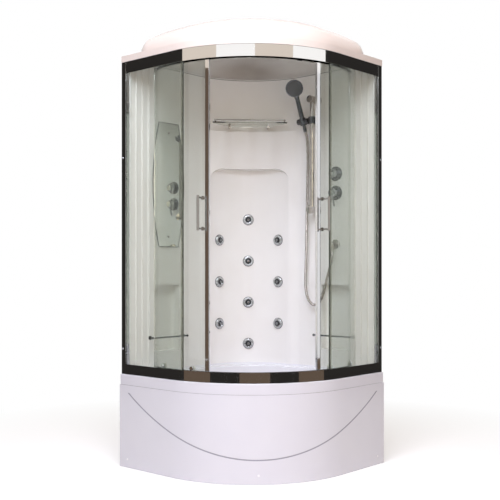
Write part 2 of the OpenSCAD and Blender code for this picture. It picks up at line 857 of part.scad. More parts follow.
module right_fixed_glass() color("lightcyan", 0.4) mirror([1, 0, 0]) fixed_glass();

function deg(l, r) = l / r * 180 / PI;

module fixed_glass_seals() color("dimgray") both_sides() difference() {
    arc_band(fixed_r + 1.5, glass_t + 3, fixed_a - 0.25, fixed_a - 0.25 + deg(seal_w, fixed_r),
        edge_low_z, edge_top_z - edge_low_z);
    arc_band(fixed_r, glass_t, fixed_a, 45, rim_z, enclosure_h);
}

// Doors, drawn for the right side with the leading edge at an angle

module door_glass(lead) difference() {
    arc_band(door_r, glass_t, lead + deg(edge_t / 2, door_r), lead + door_a, door_low_z,
        door_top_z - door_low_z);
    for (z = [-1, 1]) out_at(lead + handle_a, handle_z + z * handle_pitch / 2) glass_hole(8);
    for (a = [front_roller_a, rear_roller_a], z = [low_wheel_z, top_wheel_z])
        out_at(lead + a, z) glass_hole(9);
}

module glass_hole(d) translate([0, 0, door_r - 2 * glass_t]) cylinder(d = d, h = 3 * glass_t, $fn = fn_round);

module door_edge(lead) difference() {
    arc_band(door_r - glass_t / 2 + edge_t / 2, edge_t, lead, lead + deg(edge_w, door_r),
        edge_low_z, edge_top_z - edge_low_z);
    arc_band(door_r + 0.1, glass_t + 0.2, lead + deg(edge_t / 2, door_r) - 0.02, lead + door_a,
        rim_z, enclosure_h);
}

module door_handle(lead) {
    in_arc(lead + handle_a) translate([0, -door_r - handle_reach, handle_z - handle_l / 2])
        cylinder(d = handle_d, h = handle_l, $fn = fn_round);
    for (z = [-1, 1]) out_at(lead + handle_a, handle_z + z * handle_pitch / 2) {
        translate([0, 0, door_r]) cylinder(d = 9, h = handle_reach, $fn = fn_round);
        translate([0, 0, door_r]) cylinder(d = 17, h = 3, $fn = fn_round);
        translate([0, 0, door_r - glass_t - 3]) cylinder(d = 7, h = glass_t + 5, $fn = fn_round);
        translate([0, 0, door_r - glass_t - 5]) cylinder(d = 16, h = 4.9, $fn = fn_round);
    }
}

module roller_mounts(lead) for (a = [front_roller_a, rear_roller_a], z = [low_wheel_z, top_wheel_z])
    out_at(lead + a, z) {
        wheel_out = track_r + wheel_w / 2;
        wheel_in = track_r - wheel_w / 2;
        glass_in = door_r - glass_t;
        translate([0, 0, door_r]) cylinder(d = button_d, h = button_t, $fn = fn_round);
        translate([0, 0, glass_in - past]) cylinder(d = 8, h = glass_t + 2 * past, $fn = fn_round);
        translate([0, 0, wheel_out + gap])
            cylinder(d = boss_d, h = glass_in - 0.1 - wheel_out - gap, $fn = fn_round);
        translate([0, 0, wheel_in - gap - past])
            cylinder(d = axle_d, h = wheel_w + 2 * gap + 3 * past, $fn = fn_round);
        translate([0, 0, wheel_in - gap - 1.7]) cylinder(d = 10, h = 1.7, $fn = fn_round);
    }

// A grooved wheel that straddles the track's edge
module wheel(lead, a, z) color("gainsboro") out_at(lead + a, z) translate([0, 0, track_r])
    rotate_extrude($fn = fn_round) difference() {
        translate([axle_d / 2 + run, -wheel_w / 2]) square([wheel_d / 2 - axle_d / 2 - run, wheel_w]);
        translate([groove_floor_d / 2, -track_t / 2 - groove_gap]) square([wheel_d, track_t + 2 * groove_gap]);
    }

module left_door_glass() color("lightcyan", 0.4) mirror([1, 0, 0]) door_glass(left_open_a);
module right_door_glass() color("lightcyan", 0.4) door_glass(right_open_a);
module left_door_edge() color("silver") mirror([1, 0, 0]) door_edge(left_open_a);
module right_door_edge() color("silver") door_edge(right_open_a);
module left_door_handle() color("silver") mirror([1, 0, 0]) door_handle(left_open_a);
module right_door_handle() color("silver") door_handle(right_open_a);
module left_roller_mounts() color("silver") mirror([1, 0, 0]) roller_mounts(left_open_a);
module right_roller_mounts() color("silver") roller_mounts(right_open_a);

// Fittings on the walls

module mirror_glass_2d() {
    half_h = mirror_h / 2;
    bulge = (mirror_w - mirror_end_w) / 2;
    r = (half_h * half_h + bulge * bulge) / (2 * bulge);
    intersection() {
        translate([-mirror_w, -half_h]) square([2 * mirror_w, mirror_h]);
        translate([r - mirror_w / 2, 0]) circle(r = r, $fn = 2 * fn_arc);
        translate([mirror_w / 2 - r, 0]) circle(r = r, $fn = 2 * fn_arc);
    }
}

module mirror_plate() color("lightsteelblue") difference() {
    on_left(mirror_at, mirror_z + mirror_h / 2) linear_extrude(mirror_t) mirror_glass_2d();
    for (z = mirror_screw_zs) on_left(mirror_at, z) wall_hole(4 + 2 * gap);
}

module towel_rail() {
    for (s = [-1, 1]) translate([s * towel_l / 2, 0, 0]) {
        cylinder(d = 20, h = 3, $fn = fn_round);
        cylinder(d = 9, h = 32, $fn = fn_round);
    }
    translate([-towel_l / 2 - 6, 0, 28]) rotate([0, 90, 0]) cylinder(d = 8, h = towel_l + 12, $fn = fn_round);
}

module towel_rails() color("silver") {
    on_left(niche_at, towel_z) towel_rail();
    on_right(niche_at, towel_z) towel_rail();
}

shelf_c = wall_gap * sqrt(2) + corner_r * (sqrt(2) - 1) + past + shelf_r;

module glass_shelf() color("lightcyan", 0.5) translate([0, corner_y, shelf_z]) linear_extrude(shelf_t)
    intersection() {
        translate([0, -shelf_c]) circle(r = shelf_r, $fn = fn_arc);
        translate([-shelf_r, -shelf_front]) square([2 * shelf_r, shelf_front]);
    }

// The rail on the shelf's front edge and the two pegs in the wall that carry the shelf
module shelf_rail() color("silver") {
    half = sqrt(shelf_r * shelf_r - (shelf_c - shelf_front) * (shelf_c - shelf_front)) - 8;
    translate([-half, corner_y - shelf_front + 8, shelf_z + shelf_t + 10]) rotate([0, 90, 0])
        cylinder(d = 7, h = 2 * half, $fn = fn_round);
    for (s = [-1, 1]) {
        translate([s * (half - 6), corner_y - shelf_front + 8, shelf_z + shelf_t])
            cylinder(d = 9, h = 13, $fn = fn_round);
        peg(s * 100);
    }
}

module peg(x) {
    wall_y = corner_y - round_c * sqrt(2) + sqrt(corner_r * corner_r - (abs(x) + 6) * (abs(x) + 6));
    translate([x, wall_y - 42, shelf_z - 6]) rotate([-90, 0, 0]) cylinder(d = 12, h = 42, $fn = fn_round);
}

module slide_bar() color("silver") {
    in_corner() translate([wall_gap + bar_off, bar_at, bar_low_z])
        cylinder(d = bar_d, h = bar_high_z - bar_low_z, $fn = fn_round);
    for (z = [bar_low_z, bar_high_z]) on_right(bar_at, z) {
        cylinder(d = 36, h = bar_off + 22, $fn = fn_round);
        cylinder(d = 44, h = 5, $fn = fn_round);
    }
}

module on_bar() in_corner() translate([wall_gap + bar_off, bar_at, slider_z]) children();

module slider() color("silver") on_bar() {
    difference() {
        union() {
            translate([0, 0, -ring_h / 2]) cylinder(d = ring_d, h = ring_h, $fn = fn_round);
            rotate([90, 0, 0]) cylinder(d = pin_d, h = ring_d / 2 + gap + pin_l, $fn = fn_round);
            rotate([-90, 0, 0]) cylinder(d = 20, h = ring_d / 2 + 14, $fn = fn_round);
        }
        translate([0, 0, -ring_h]) cylinder(d = bar_d + 2 * run, h = 2 * ring_h, $fn = fn_round);
    }
    for (a = [45, -45]) translate([0, ring_d / 2 + 9, 0]) rotate([0, a, 0]) translate([0, 0, 8])
        cylinder(d = 7, h = 12, $fn = fn_round);
}

module in_holder() in_corner() translate([wall_gap + bar_off, bar_at - holder_off, slider_z])
    rotate([0, holder_tilt, 0]) children();

module shower_holder() color("silver") {
    hold_from = holder_off - ring_d / 2 - gap;
    difference() {
        union() {
            on_bar() translate([0, -ring_d / 2 - gap, 0]) rotate([90, 0, 0])
                cylinder(d = 30, h = hold_from + 30, $fn = fn_round);
            in_holder() translate([0, 0, -socket_h / 2])
                cylinder(d = socket_d + 2 * socket_wall + socket_taper, h = socket_h, $fn = fn_round);
        }
        on_bar() translate([0, -ring_d / 2, 0]) rotate([90, 0, 0])
            cylinder(d = pin_d + 2 * run, h = gap + pin_l + gap, $fn = fn_round);
        in_holder() translate([0, 0, -socket_h]) cylinder(d1 = socket_d - 2 * socket_taper,
            d2 = socket_d + 2 * socket_taper, h = 2 * socket_h, $fn = fn_round);
    }
}

module in_head() in_holder() translate([0, 0, head_l]) rotate([0, 0, head_turn])
    rotate([0, 90 + head_drop - holder_tilt, 0]) translate([0, 0, head_off]) children();

module hand_shower() color("silver") {
    in_holder() {
        translate([0, 0, -handle_tail]) cylinder(d = hose_nut_d, h = 20, $fn = fn_round);
        translate([0, 0, -handle_tail + 18]) cylinder(d = hose_nut_d - 2,
            h = handle_tail - socket_h, $fn = fn_round);
        translate([0, 0, -socket_h / 2]) cylinder(d1 = socket_d - socket_taper - 2 * gap,
            d2 = socket_d + socket_taper - 2 * gap, h = socket_h, $fn = fn_round);
        translate([0, 0, socket_h / 2]) cylinder(d1 = socket_d, d2 = grip_d, h = grip_l - socket_h / 2,
            $fn = fn_round);
    }
    hull() {
        in_holder() translate([0, 0, grip_l - 2]) cylinder(d = grip_d, h = 1, $fn = fn_hull);
        in_head() translate([0, 0, -head_t]) cylinder(d = head_d * 0.45, h = 6, $fn = fn_hull);
    }
    in_head() {
        translate([0, 0, -head_t]) cylinder(d1 = head_d * 0.6, d2 = head_d, h = head_t - 6, $fn = fn_round);
        translate([0, 0, -6]) difference() {
            cylinder(d = head_d, h = 6, $fn = fn_round);
            translate([0, 0, 3]) cylinder(d = head_d - 8, h = 6, $fn = fn_round);
        }
    }
}

module hand_shower_face() color("darkslategray") in_head() {
    translate([0, 0, -2.9]) cylinder(d = head_d - 8 - 2 * gap, h = 4, $fn = fn_round);
    for (k = [1:3], i = [0:6 * k - 1]) rotate([0, 0, i * 60 / k]) translate([k * 11, 0, 1])
        cylinder(d = 3, h = 1.2, $fn = 13);
}

// Hose: a round tube swept along its route

function unit(v) = v / norm(v);
function stretch(i) = [hose_route[max(i - 1, 0)], hose_route[i], hose_route[i + 1],
    hose_route[min(i + 2, hose_last)]];
function hose_point(i, t) = let (p = stretch(i))
    0.5 * (2 * p[1] + (p[2] - p[0]) * t + (2 * p[0] - 5 * p[1] + 4 * p[2] - p[3]) * t * t
        + (3 * p[1] - p[0] - 3 * p[2] + p[3]) * t * t * t);
function hose_heading(i, t) = let (p = stretch(i))
    unit((p[2] - p[0]) + 2 * (2 * p[0] - 5 * p[1] + 4 * p[2] - p[3]) * t
        + 3 * (3 * p[1] - p[0] - 3 * p[2] + p[3]) * t * t);
function hose_ring(i, t) = let (a = unit(cross(hose_heading(i, t), [1, 0, 0])),
        b = cross(hose_heading(i, t), a))
    [for (k = [0:hose_sides - 1]) hose_point(i, t)
        + hose_d / 2 * (cos(k * 360 / hose_sides) * a + sin(k * 360 / hose_sides) * b)];

function count(i) = max(1, round(norm(hose_route[i + 1] - hose_route[i]) / hose_pitch));

// Each ring is a stretch of the route and how far along it
hose_rings = concat(
    [for (i = [0:hose_last - 1]) let (n = count(i)) for (k = [0:n - 1]) [i, k / n]],
    [[hose_last - 1, 1]]);

// Triangles that join the ring that starts at point a to the next one
function belt(a) = [for (k = [0:hose_sides - 1]) let (m = (k + 1) % hose_sides, b = a + hose_sides)
    each [[a + k, a + m, b + m], [a + k, b + m, b + k]]];

module shower_hose() color("lightgray") in_corner() {
    last = (len(hose_rings) - 1) * hose_sides;
    polyhedron(
        points = [for (r = hose_rings) each hose_ring(r[0], r[1])],
        faces = concat(
            [[for (k = [hose_sides - 1:-1:0]) k]],
            [for (a = [0:hose_sides:last - 1]) each belt(a)],
            [[for (k = [0:hose_sides - 1]) last + k]]));
}

function hose_length(k = 0) = k == len(hose_rings) - 1 ? 0
    : norm(hose_point(hose_rings[k + 1][0], hose_rings[k + 1][1])
        - hose_point(hose_rings[k][0], hose_rings[k][1])) + hose_length(k + 1);

echo(hose_length = hose_length());

module outlet_elbow() color("silver") on_right(controls_at, elbow_z) {
    cylinder(d = 46, h = 5, $fn = fn_round);
    translate([0, 0, -25]) cylinder(d = elbow_d, h = 25 + elbow_reach, $fn = fn_round);
    translate([0, 0, elbow_reach]) sphere(d = elbow_d + 2, $fn = fn_round);
    translate([0, -elbow_drop, elbow_reach]) rotate([-90, 0, 0])
        cylinder(d = hose_nut_d, h = elbow_drop, $fn = fn_round);
}

// The brass valve behind the wall, with both plates and spindles, and its two inlets
module mixer_valve() color("silver") {
    for (z = [mixer_z, diverter_z]) on_right(controls_at, z) {
        cylinder(d = plate_d, h = 4, $fn = fn_round);
        translate([0, 0, -22]) cylinder(d = knob_d - 2, h = 26, $fn = fn_round);
        translate([0, 0, 4]) cylinder(d = 14, h = 14, $fn = fn_round);
    }
    on_right(controls_at, mixer_z - 24) translate([-valve_w / 2, 0, 12 - wall_gap])
        cube([valve_w, diverter_z - mixer_z + 48, 36]);
    for (s = [-1, 1]) on_right(controls_at + s * inlet_off, mixer_z) {
        translate([0, 0, -inlet_back]) cylinder(d = inlet_d, h = inlet_l, $fn = fn_round);
        translate([0, 0, -inlet_back + past]) cylinder(d = pipe_d, h = inlet_back - inlet_bend - past,
            $fn = fn_round);
        translate([0, 0, -inlet_bend]) {
            sphere(d = pipe_d, $fn = fn_round);
            translate([-s * inlet_off, 0, 0]) rotate([0, s * 90, 0])
                cylinder(d = pipe_d, h = inlet_off, $fn = fn_round);
        }
    }
}

module knob_body(h) difference() {
    translate([0, 0, 4 + gap]) union() {
        cylinder(d = knob_d, h = h - 6, $fn = fn_round);
        translate([0, 0, h - 6]) cylinder(d1 = knob_d, d2 = knob_d - 8, h = 6, $fn = fn_round);
    }
    translate([0, 0, 3]) cylinder(d = 14 + 2 * run, h = 15 + 2 * gap, $fn = fn_round);
}

module mixer_lever() color("silver") on_right(controls_at, mixer_z) {
    knob_body(38);
    translate([0, -knob_d / 2 + 4, 30]) rotate([110, 0, 0])
        cylinder(d1 = 10, d2 = 8, h = 52, $fn = fn_round);
}

module diverter_knob() color("silver") on_right(controls_at, diverter_z) {
    knob_body(34);
    translate([-3, 0, 36]) cube([6, knob_d / 2 - 5, 4]);
}

// Jets

module jet_body(j) difference() {
    union() {
        translate([0, 0, jet_back - jet_ring_t]) cylinder(d1 = jet_d - 6, d2 = jet_d, h = jet_ring_t,
            $fn = fn_round);
        translate([0, 0, jet_back - past]) cylinder(d = jet_tube_d, h = 34, $fn = fn_round);
        translate([0, 0, rest_r + shell_t + 0.1]) cylinder(d = jet_d, h = 8, $fn = fn_round);
        translate([0, 0, jet_back + 30]) cylinder(d = jet_tail_d, h = jet_tail - 30, $fn = fn_round);
    }
    translate([0, 0, jet_back + ball_in]) sphere(d = ball_d + 2 * gap, $fn = fn_round);
    translate([0, 0, jet_back - jet_ring_t - past]) cylinder(d1 = jet_d - 12, d2 = ball_d - 3,
        h = jet_ring_t + past, $fn = fn_round);
    translate([0, 0, jet_back]) cylinder(d = 10, h = jet_tail + past, $fn = fn_round);
}

module jet_bodies() color("silver") for (j = jets) at_jet(j) jet_body();

// A ball with a short nozzle, bored through
module jet_nozzle(i) color("dimgray") at_jet(jets[i - 1]) translate([0, 0, jet_back + ball_in]) difference() {
    union() {
        sphere(d = ball_d, $fn = fn_round);
        translate([0, 0, -ball_d / 2 - 4]) cylinder(d1 = 12, d2 = 16, h = 10, $fn = fn_round);
    }
    translate([0, 0, -ball_d]) cylinder(d = 6, h = 2 * ball_d, $fn = fn_round);
}

// One upright pipe behind each column of jets, a curved pipe that joins them, and the feed
module water_pipes() color("orange") {
    high = jet_z + 3 * jet_pitch + 12;
    for (a = [-jet_a, 0, jet_a]) at_jet([a, pipe_low_z]) translate([0, 0, pipe_out]) rotate([90, 0, 0])
        cylinder(d = pipe_d, h = (a == jet_a ? feed_z + 12 : high) - pipe_low_z, $fn = fn_round);
    translate([0, corner_y - rest_c, pipe_low_z]) rotate([0, 0, 90 - jet_a - 3])
        rotate_extrude(angle = 2 * jet_a + 6, $fn = fn_arc) translate([pipe_out, 0])
            circle(d = pipe_d + 4, $fn = fn_round);
    in_corner() translate([feed_x, feed_y, feed_z]) rotate([-90, 0, 0])
        cylinder(d = pipe_d - 2, h = controls_at - valve_w / 2 - feed_y, $fn = fn_round);
}

tray();
tray_frame();
tray_feet();
apron();
cover_screws();
drain_waste();
drain_strainer();
back_panel();
left_side_panel();
right_side_panel();
panel_bolts();
roof();
wall_profiles();
top_rail();
bottom_rail();
left_fixed_glass();
right_fixed_glass();
fixed_glass_seals();
left_door_glass();
right_door_glass();
left_door_edge();
right_door_edge();
left_door_handle();
right_door_handle();
left_roller_mounts();
right_roller_mounts();
mirror([1, 0, 0]) wheel(left_open_a, front_roller_a, top_wheel_z);  // left_wheel_top_front
mirror([1, 0, 0]) wheel(left_open_a, rear_roller_a, top_wheel_z);  // left_wheel_top_rear
mirror([1, 0, 0]) wheel(left_open_a, front_roller_a, low_wheel_z);  // left_wheel_low_front
mirror([1, 0, 0]) wheel(left_open_a, rear_roller_a, low_wheel_z);  // left_wheel_low_rear
wheel(right_open_a, front_roller_a, top_wheel_z);  // right_wheel_top_front
wheel(right_open_a, rear_roller_a, top_wheel_z);  // right_wheel_top_rear
wheel(right_open_a, front_roller_a, low_wheel_z);  // right_wheel_low_front
wheel(right_open_a, rear_roller_a, low_wheel_z);  // right_wheel_low_rear
mirror_plate();  // mirror
towel_rails();
glass_shelf();
shelf_rail();
slide_bar();
slider();
shower_holder();
hand_shower();
hand_shower_face();
shower_hose();
outlet_elbow();
mixer_valve();
mixer_lever();
diverter_knob();
jet_bodies();
water_pipes();
jet_nozzle(1);  // jet_nozzle_1
jet_nozzle(2);  // jet_nozzle_2
jet_nozzle(3);  // jet_nozzle_3
jet_nozzle(4);  // jet_nozzle_4
jet_nozzle(5);  // jet_nozzle_5
jet_nozzle(6);  // jet_nozzle_6
jet_nozzle(7);  // jet_nozzle_7
jet_nozzle(8);  // jet_nozzle_8
jet_nozzle(9);  // jet_nozzle_9
jet_nozzle(10);  // jet_nozzle_10
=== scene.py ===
# %% [markdown]
# A corner shower cabin with massage jets, dressed for its portrait.
# The construction model gives every piece at its real size and place, in metres.
# This script never moves those pieces: it gives them rounded edges, fine details and finishes.

# %% Load the construction model
import json
import math

import bmesh
import bpy
from mathutils import Matrix, Vector


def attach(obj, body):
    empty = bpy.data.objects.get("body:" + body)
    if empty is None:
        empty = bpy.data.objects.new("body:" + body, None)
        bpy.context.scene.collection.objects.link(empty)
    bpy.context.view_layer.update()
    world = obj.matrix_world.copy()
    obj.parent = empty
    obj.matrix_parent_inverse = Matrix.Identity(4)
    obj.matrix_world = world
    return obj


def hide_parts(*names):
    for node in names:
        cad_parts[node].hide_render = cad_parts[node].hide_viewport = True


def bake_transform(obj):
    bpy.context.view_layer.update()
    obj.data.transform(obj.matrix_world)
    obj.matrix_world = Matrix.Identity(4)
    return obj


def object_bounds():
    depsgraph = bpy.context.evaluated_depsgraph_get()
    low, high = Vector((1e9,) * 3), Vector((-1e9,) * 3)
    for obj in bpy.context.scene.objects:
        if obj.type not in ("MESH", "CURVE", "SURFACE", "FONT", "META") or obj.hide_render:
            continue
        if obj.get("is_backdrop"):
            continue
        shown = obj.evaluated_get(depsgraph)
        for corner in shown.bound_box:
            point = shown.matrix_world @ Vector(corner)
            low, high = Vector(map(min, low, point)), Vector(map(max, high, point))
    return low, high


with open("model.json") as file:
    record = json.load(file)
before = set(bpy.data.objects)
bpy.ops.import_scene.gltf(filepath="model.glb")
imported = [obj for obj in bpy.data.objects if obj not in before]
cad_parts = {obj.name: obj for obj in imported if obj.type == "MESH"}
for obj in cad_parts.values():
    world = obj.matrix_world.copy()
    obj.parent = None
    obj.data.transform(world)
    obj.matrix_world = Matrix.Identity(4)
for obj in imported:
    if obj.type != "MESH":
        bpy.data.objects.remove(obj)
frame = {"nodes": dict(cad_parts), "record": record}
cad_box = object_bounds()
BODY = {node: body for body, nodes in frame["record"]["behaviour"]["bodies"].items() for node in nodes}

# %% [markdown]
# The camera comes first. It stands more than four metres away, a little left of the middle,
# with a long lens, so that the uprights stay parallel. The horizon lies at the height of the
# handles, and a small shift sets the cabin in the frame without tilting the camera.

# %% Camera
camera_data = bpy.data.cameras.new("portrait_camera")
camera_data.lens = 63.58
camera_data.shift_y = 0.0357
camera = bpy.data.objects.new("portrait_camera", camera_data)
camera.location = (-0.256, -4.3535, 0.946)
camera.rotation_euler = (math.radians(90), 0, -0.057)
bpy.context.scene.collection.objects.link(camera)
bpy.context.scene.camera = camera
bpy.context.scene.view_settings.view_transform = "Standard"
print("the camera looks from", tuple(round(v, 3) for v in camera.location))

# %% [markdown]
# Two sets of axes return all the time. Fittings on the walls are placed from the room's corner:
# so far from the right wall, so far from the left wall, so high. The sliding doors and the frame
# are placed by an angle round the centre of the curved front.

# %% Places
# The plan's side and straight ends, the faces of the walls, the tray's rim and the walls' top
SIDE = 0.9
STRAIGHT = 0.35
ARC_R = SIDE - STRAIGHT
CORNER_Y = (STRAIGHT * math.sqrt(2) + ARC_R) / 2
ARC_Y = CORNER_Y - STRAIGHT * math.sqrt(2)
WALL = 0.068
RIM_Z = 0.44
TOP_Z = 1.926


def moved(x, y, z):
    return Matrix.Translation((x, y, z))


def turned(degrees, axis):
    return Matrix.Rotation(math.radians(degrees), 4, axis)


FROM_CORNER = moved(0, CORNER_Y, 0) @ turned(-135, "Z")


def on_front(angle, z, radius):
    """A frame on the curved front whose z axis points outwards."""
    return moved(0, ARC_Y, 0) @ turned(angle, "Z") @ moved(0, -radius, z) @ turned(90, "X")


def on_right_wall(at, z):
    """A frame on the right wall: x runs to the front, y up and z into the cabin."""
    return FROM_CORNER @ moved(WALL, at, z) @ turned(90, "Z") @ turned(90, "X")


def on_left_wall(at, z):
    """A frame on the left wall: x runs to the corner, y up and z into the cabin."""
    return FROM_CORNER @ moved(at, WALL, z) @ turned(180, "Z") @ turned(90, "X")


print("the room's corner is at y =", round(CORNER_Y, 4))

# %% [markdown]
# The hose is the one part that hangs free. It leaves the hand shower, hangs almost straight down,
# turns in a loop just above the niche and rises to its elbow. Its route is a short list of given points,
# and a smooth curve passes through all of them.

# %% The hose's route
HOSE_D = 0.014
LEAN_A = 23
HOLDER = Vector((0.118, 0.494, 1.685))
HANDLE_BELOW = 0.05205
LEAN = Vector((math.sin(math.radians(LEAN_A)), 0, math.cos(math.radians(LEAN_A))))
HOSE_TOP = HOLDER - HANDLE_BELOW * LEAN
HOSE_END = Vector((0.098, 0.662, 1.035))
HOSE_ROUTE = [
    HOSE_TOP, HOSE_TOP - HOSE_D * LEAN, HOSE_TOP - 2.2 * HOSE_D * LEAN,
    *map(Vector, [
        (0.086, 0.498, 1.57), (0.088, 0.502, 1.52), (0.092, 0.505, 1.46), (0.096, 0.506, 1.39),
        (0.098, 0.506, 1.31), (0.1, 0.505, 1.23), (0.1, 0.504, 1.15), (0.1, 0.502, 1.07),
        (0.1, 0.5, 0.99), (0.1, 0.497, 0.92), (0.1, 0.496, 0.865), (0.1, 0.502, 0.818),
        (0.1, 0.518, 0.782), (0.1, 0.544, 0.761), (0.1, 0.573, 0.764), (0.1, 0.596, 0.789),
        (0.1, 0.612, 0.83), (0.099, 0.628, 0.885), (0.098, 0.645, 0.94), (0.098, 0.657, 0.98)]),
    HOSE_END - Vector((0, 0, 2.2 * HOSE_D)), HOSE_END - Vector((0, 0, HOSE_D)), HOSE_END]


def smooth_route(points, step):
    """Points a given step apart on the smooth curve through the route's points."""
    found = []
    for i in range(len(points) - 1):
        a, b = points[max(i - 1, 0)], points[i]
        c, d = points[i + 1], points[min(i + 2, len(points) - 1)]
        n = max(1, round((c - b).length / step))
        for k in range(n):
            t = k / n
            found.append(0.5 * (2 * b + (c - a) * t + (2 * a - 5 * b + 4 * c - d) * t * t
                                + (3 * b - a - 3 * c + d) * t ** 3))
    return found + [points[-1]]


def route_length(points):
    return sum((b - a).length for a, b in zip(points, points[1:]))


RIB_PITCH = 0.0045
RIB_RADII = (0.5, 0.5, 0.44, 0.44)
RIB_STEP = RIB_PITCH / len(RIB_RADII)
hose_line = [FROM_CORNER @ p for p in smooth_route(HOSE_ROUTE, RIB_STEP)]
hose_radii = [HOSE_D * RIB_RADII[i % len(RIB_RADII)] for i in range(len(hose_line))]
print("the hose is", round(route_length(hose_line), 3), "m long, with a rib each", RIB_PITCH, "m")

# %% [markdown]
# The metal sleeve of a real hose is a wound strip, so its outline is a row of small ribs: a curve
# with a round bevel gives them if the radius of its points goes up and down. The hose comes in two
# pieces, because a piece can bend across one joint only. The hose comes in two pieces, split a
# little below the handle: the long one runs from there to the elbow, and the short one runs up to
# the handle. The short one also reaches some way up into the handle, and that stretch comes into
# sight when the hand shower is lifted out.

# %% Hose
SPLIT_POINT = 3
TUCKED_RIBS = 18


def new_object(name, mesh):
    made = bpy.data.objects.new(name, mesh)
    bpy.context.scene.collection.objects.link(made)
    return made


def tube_along(name, points, radii, sides=4):
    """A mesh tube through the points, with a radius for each of them and closed ends."""
    curve = bpy.data.curves.new(name, "CURVE")
    curve.dimensions = "3D"
    curve.bevel_depth = 1
    curve.bevel_resolution = sides
    curve.use_fill_caps = True
    spline = curve.splines.new("POLY")
    spline.points.add(len(points) - 1)
    for place, point, radius in zip(spline.points, points, radii):
        place.co = (*point, 1)
        place.radius = radius
    holder = new_object(name, curve)
    bpy.context.view_layer.update()
    shown = holder.evaluated_get(bpy.context.evaluated_depsgraph_get())
    mesh = bpy.data.meshes.new_from_object(shown)
    bpy.data.objects.remove(holder)
    mesh.name = name
    for face in mesh.polygons:
        face.use_smooth = True
    return mesh


split_place = FROM_CORNER @ HOSE_ROUTE[SPLIT_POINT]
split_at = min(range(len(hose_line)), key=lambda i: (hose_line[i] - split_place).length)
hose = new_object("hose_sleeve", tube_along("hose_sleeve", hose_line[split_at:], hose_radii[split_at:]))
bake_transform(hose)

way_up = FROM_CORNER.to_3x3() @ LEAN
tucked = [hose_line[0] + way_up * (k * RIB_STEP) for k in range(TUCKED_RIBS * len(RIB_RADII), 0, -1)]
upper_line = tucked + hose_line[:split_at + 1]
upper_radii = hose_radii[:len(tucked)] + hose_radii[:split_at + 1]
hose_upper = new_object("hose_upper", tube_along("hose_upper", upper_line, upper_radii))
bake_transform(hose_upper)
for made in (hose, hose_upper):
    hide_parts("shower_hose")
print("made the hose's two pieces, with", TUCKED_RIBS, "ribs in the handle")

# %% [markdown]
# Materials come next, because every piece below takes one. Each colour is written as the hex value
# that a colour picker shows, and one function turns it into the linear light that shaders expect.
# A second small function adds a shader node: each name that it is given is a setting of the node,
# or a socket, and a socket is either set or linked.

# %% Shader helpers
def linear(hex_colour):
    """The linear colour of a hex value such as #F4F2EE."""
    parts = [int(hex_colour[i:i + 2], 16) / 255 for i in (1, 3, 5)]
    return (*[v / 12.92 if v <= 0.04045 else ((v + 0.055) / 1.055) ** 2.4 for v in parts], 1)


def add(tree, kind, given, output=0):
    """Adds a node of that kind, with its settings and links, and returns one of its outputs."""
    made = tree.nodes.new("ShaderNode" + kind)
    for name, value in given.items():
        if isinstance(name, str) and hasattr(made, name):
            setattr(made, name, value)
        elif isinstance(value, bpy.types.NodeSocket):
            tree.links.new(value, made.inputs[name])
        else:
            made.inputs[name].default_value = value
    return made.outputs[output] if made.outputs else None


def start_material(name):
    """An empty node tree in a new material."""
    made = bpy.data.materials.new(name)
    made.use_nodes = True
    made.node_tree.nodes.clear()
    return made, made.node_tree


def ray_is(tree, *kinds):
    """One for rays of any of these kinds, and zero for the rest."""
    seen = 0.0
    for kind in kinds:
        seen = add(tree, "Math", {"operation": "MAXIMUM", 0: seen, 1: add(tree, "LightPath", {}, kind)})
    return seen


MM = 0.001

# %% [markdown]
# Sanitary acrylic is a cast sheet, drawn hot over a mould and backed with fibreglass. It is glossy,
# with an index of 1.49, and it mirrors the room softly: the sheet is never quite flat, so long
# reflections bend a little. A wide, shallow noise in the bump gives that, and a second one moves
# the roughness between freshly wiped and slightly dull. The colour shifts by less than the eye
# would name. A thin grey line in the moulded arc of the apron is painted shade, the shade in its groove.

# %% Acrylic
WAVE_MM = 130
WIPE_MM = 90
GROOVE_R = 0.83
GROOVE_CENTRE_Z = 0.938
GROOVE_TOP_Z = 0.356


def groove_shade_mask(tree, place):
    """One inside the moulded arc of the apron, where shade is painted in the groove, and zero outside it."""
    flat = add(tree, "VectorMath", {"operation": "MULTIPLY_ADD", 0: place, 1: (1, 0, 1),
                                    2: (0, 0, -GROOVE_CENTRE_Z)}, "Vector")
    away = add(tree, "Math", {"operation": "SUBTRACT", 1: GROOVE_R,
                              0: add(tree, "VectorMath", {"operation": "LENGTH", 0: flat}, "Value")})
    near = add(tree, "MapRange", {"Value": add(tree, "Math", {"operation": "ABSOLUTE", 0: away}),
                                  "From Min": 2.2 * MM, "From Max": 3.4 * MM, "To Min": 1.0, "To Max": 0.0})
    z = add(tree, "SeparateXYZ", {"Vector": place}, "Z")
    below = add(tree, "Math", {"operation": "LESS_THAN", 0: z, 1: GROOVE_TOP_Z})
    return add(tree, "Math", {"operation": "MULTIPLY", 0: near, 1: below})


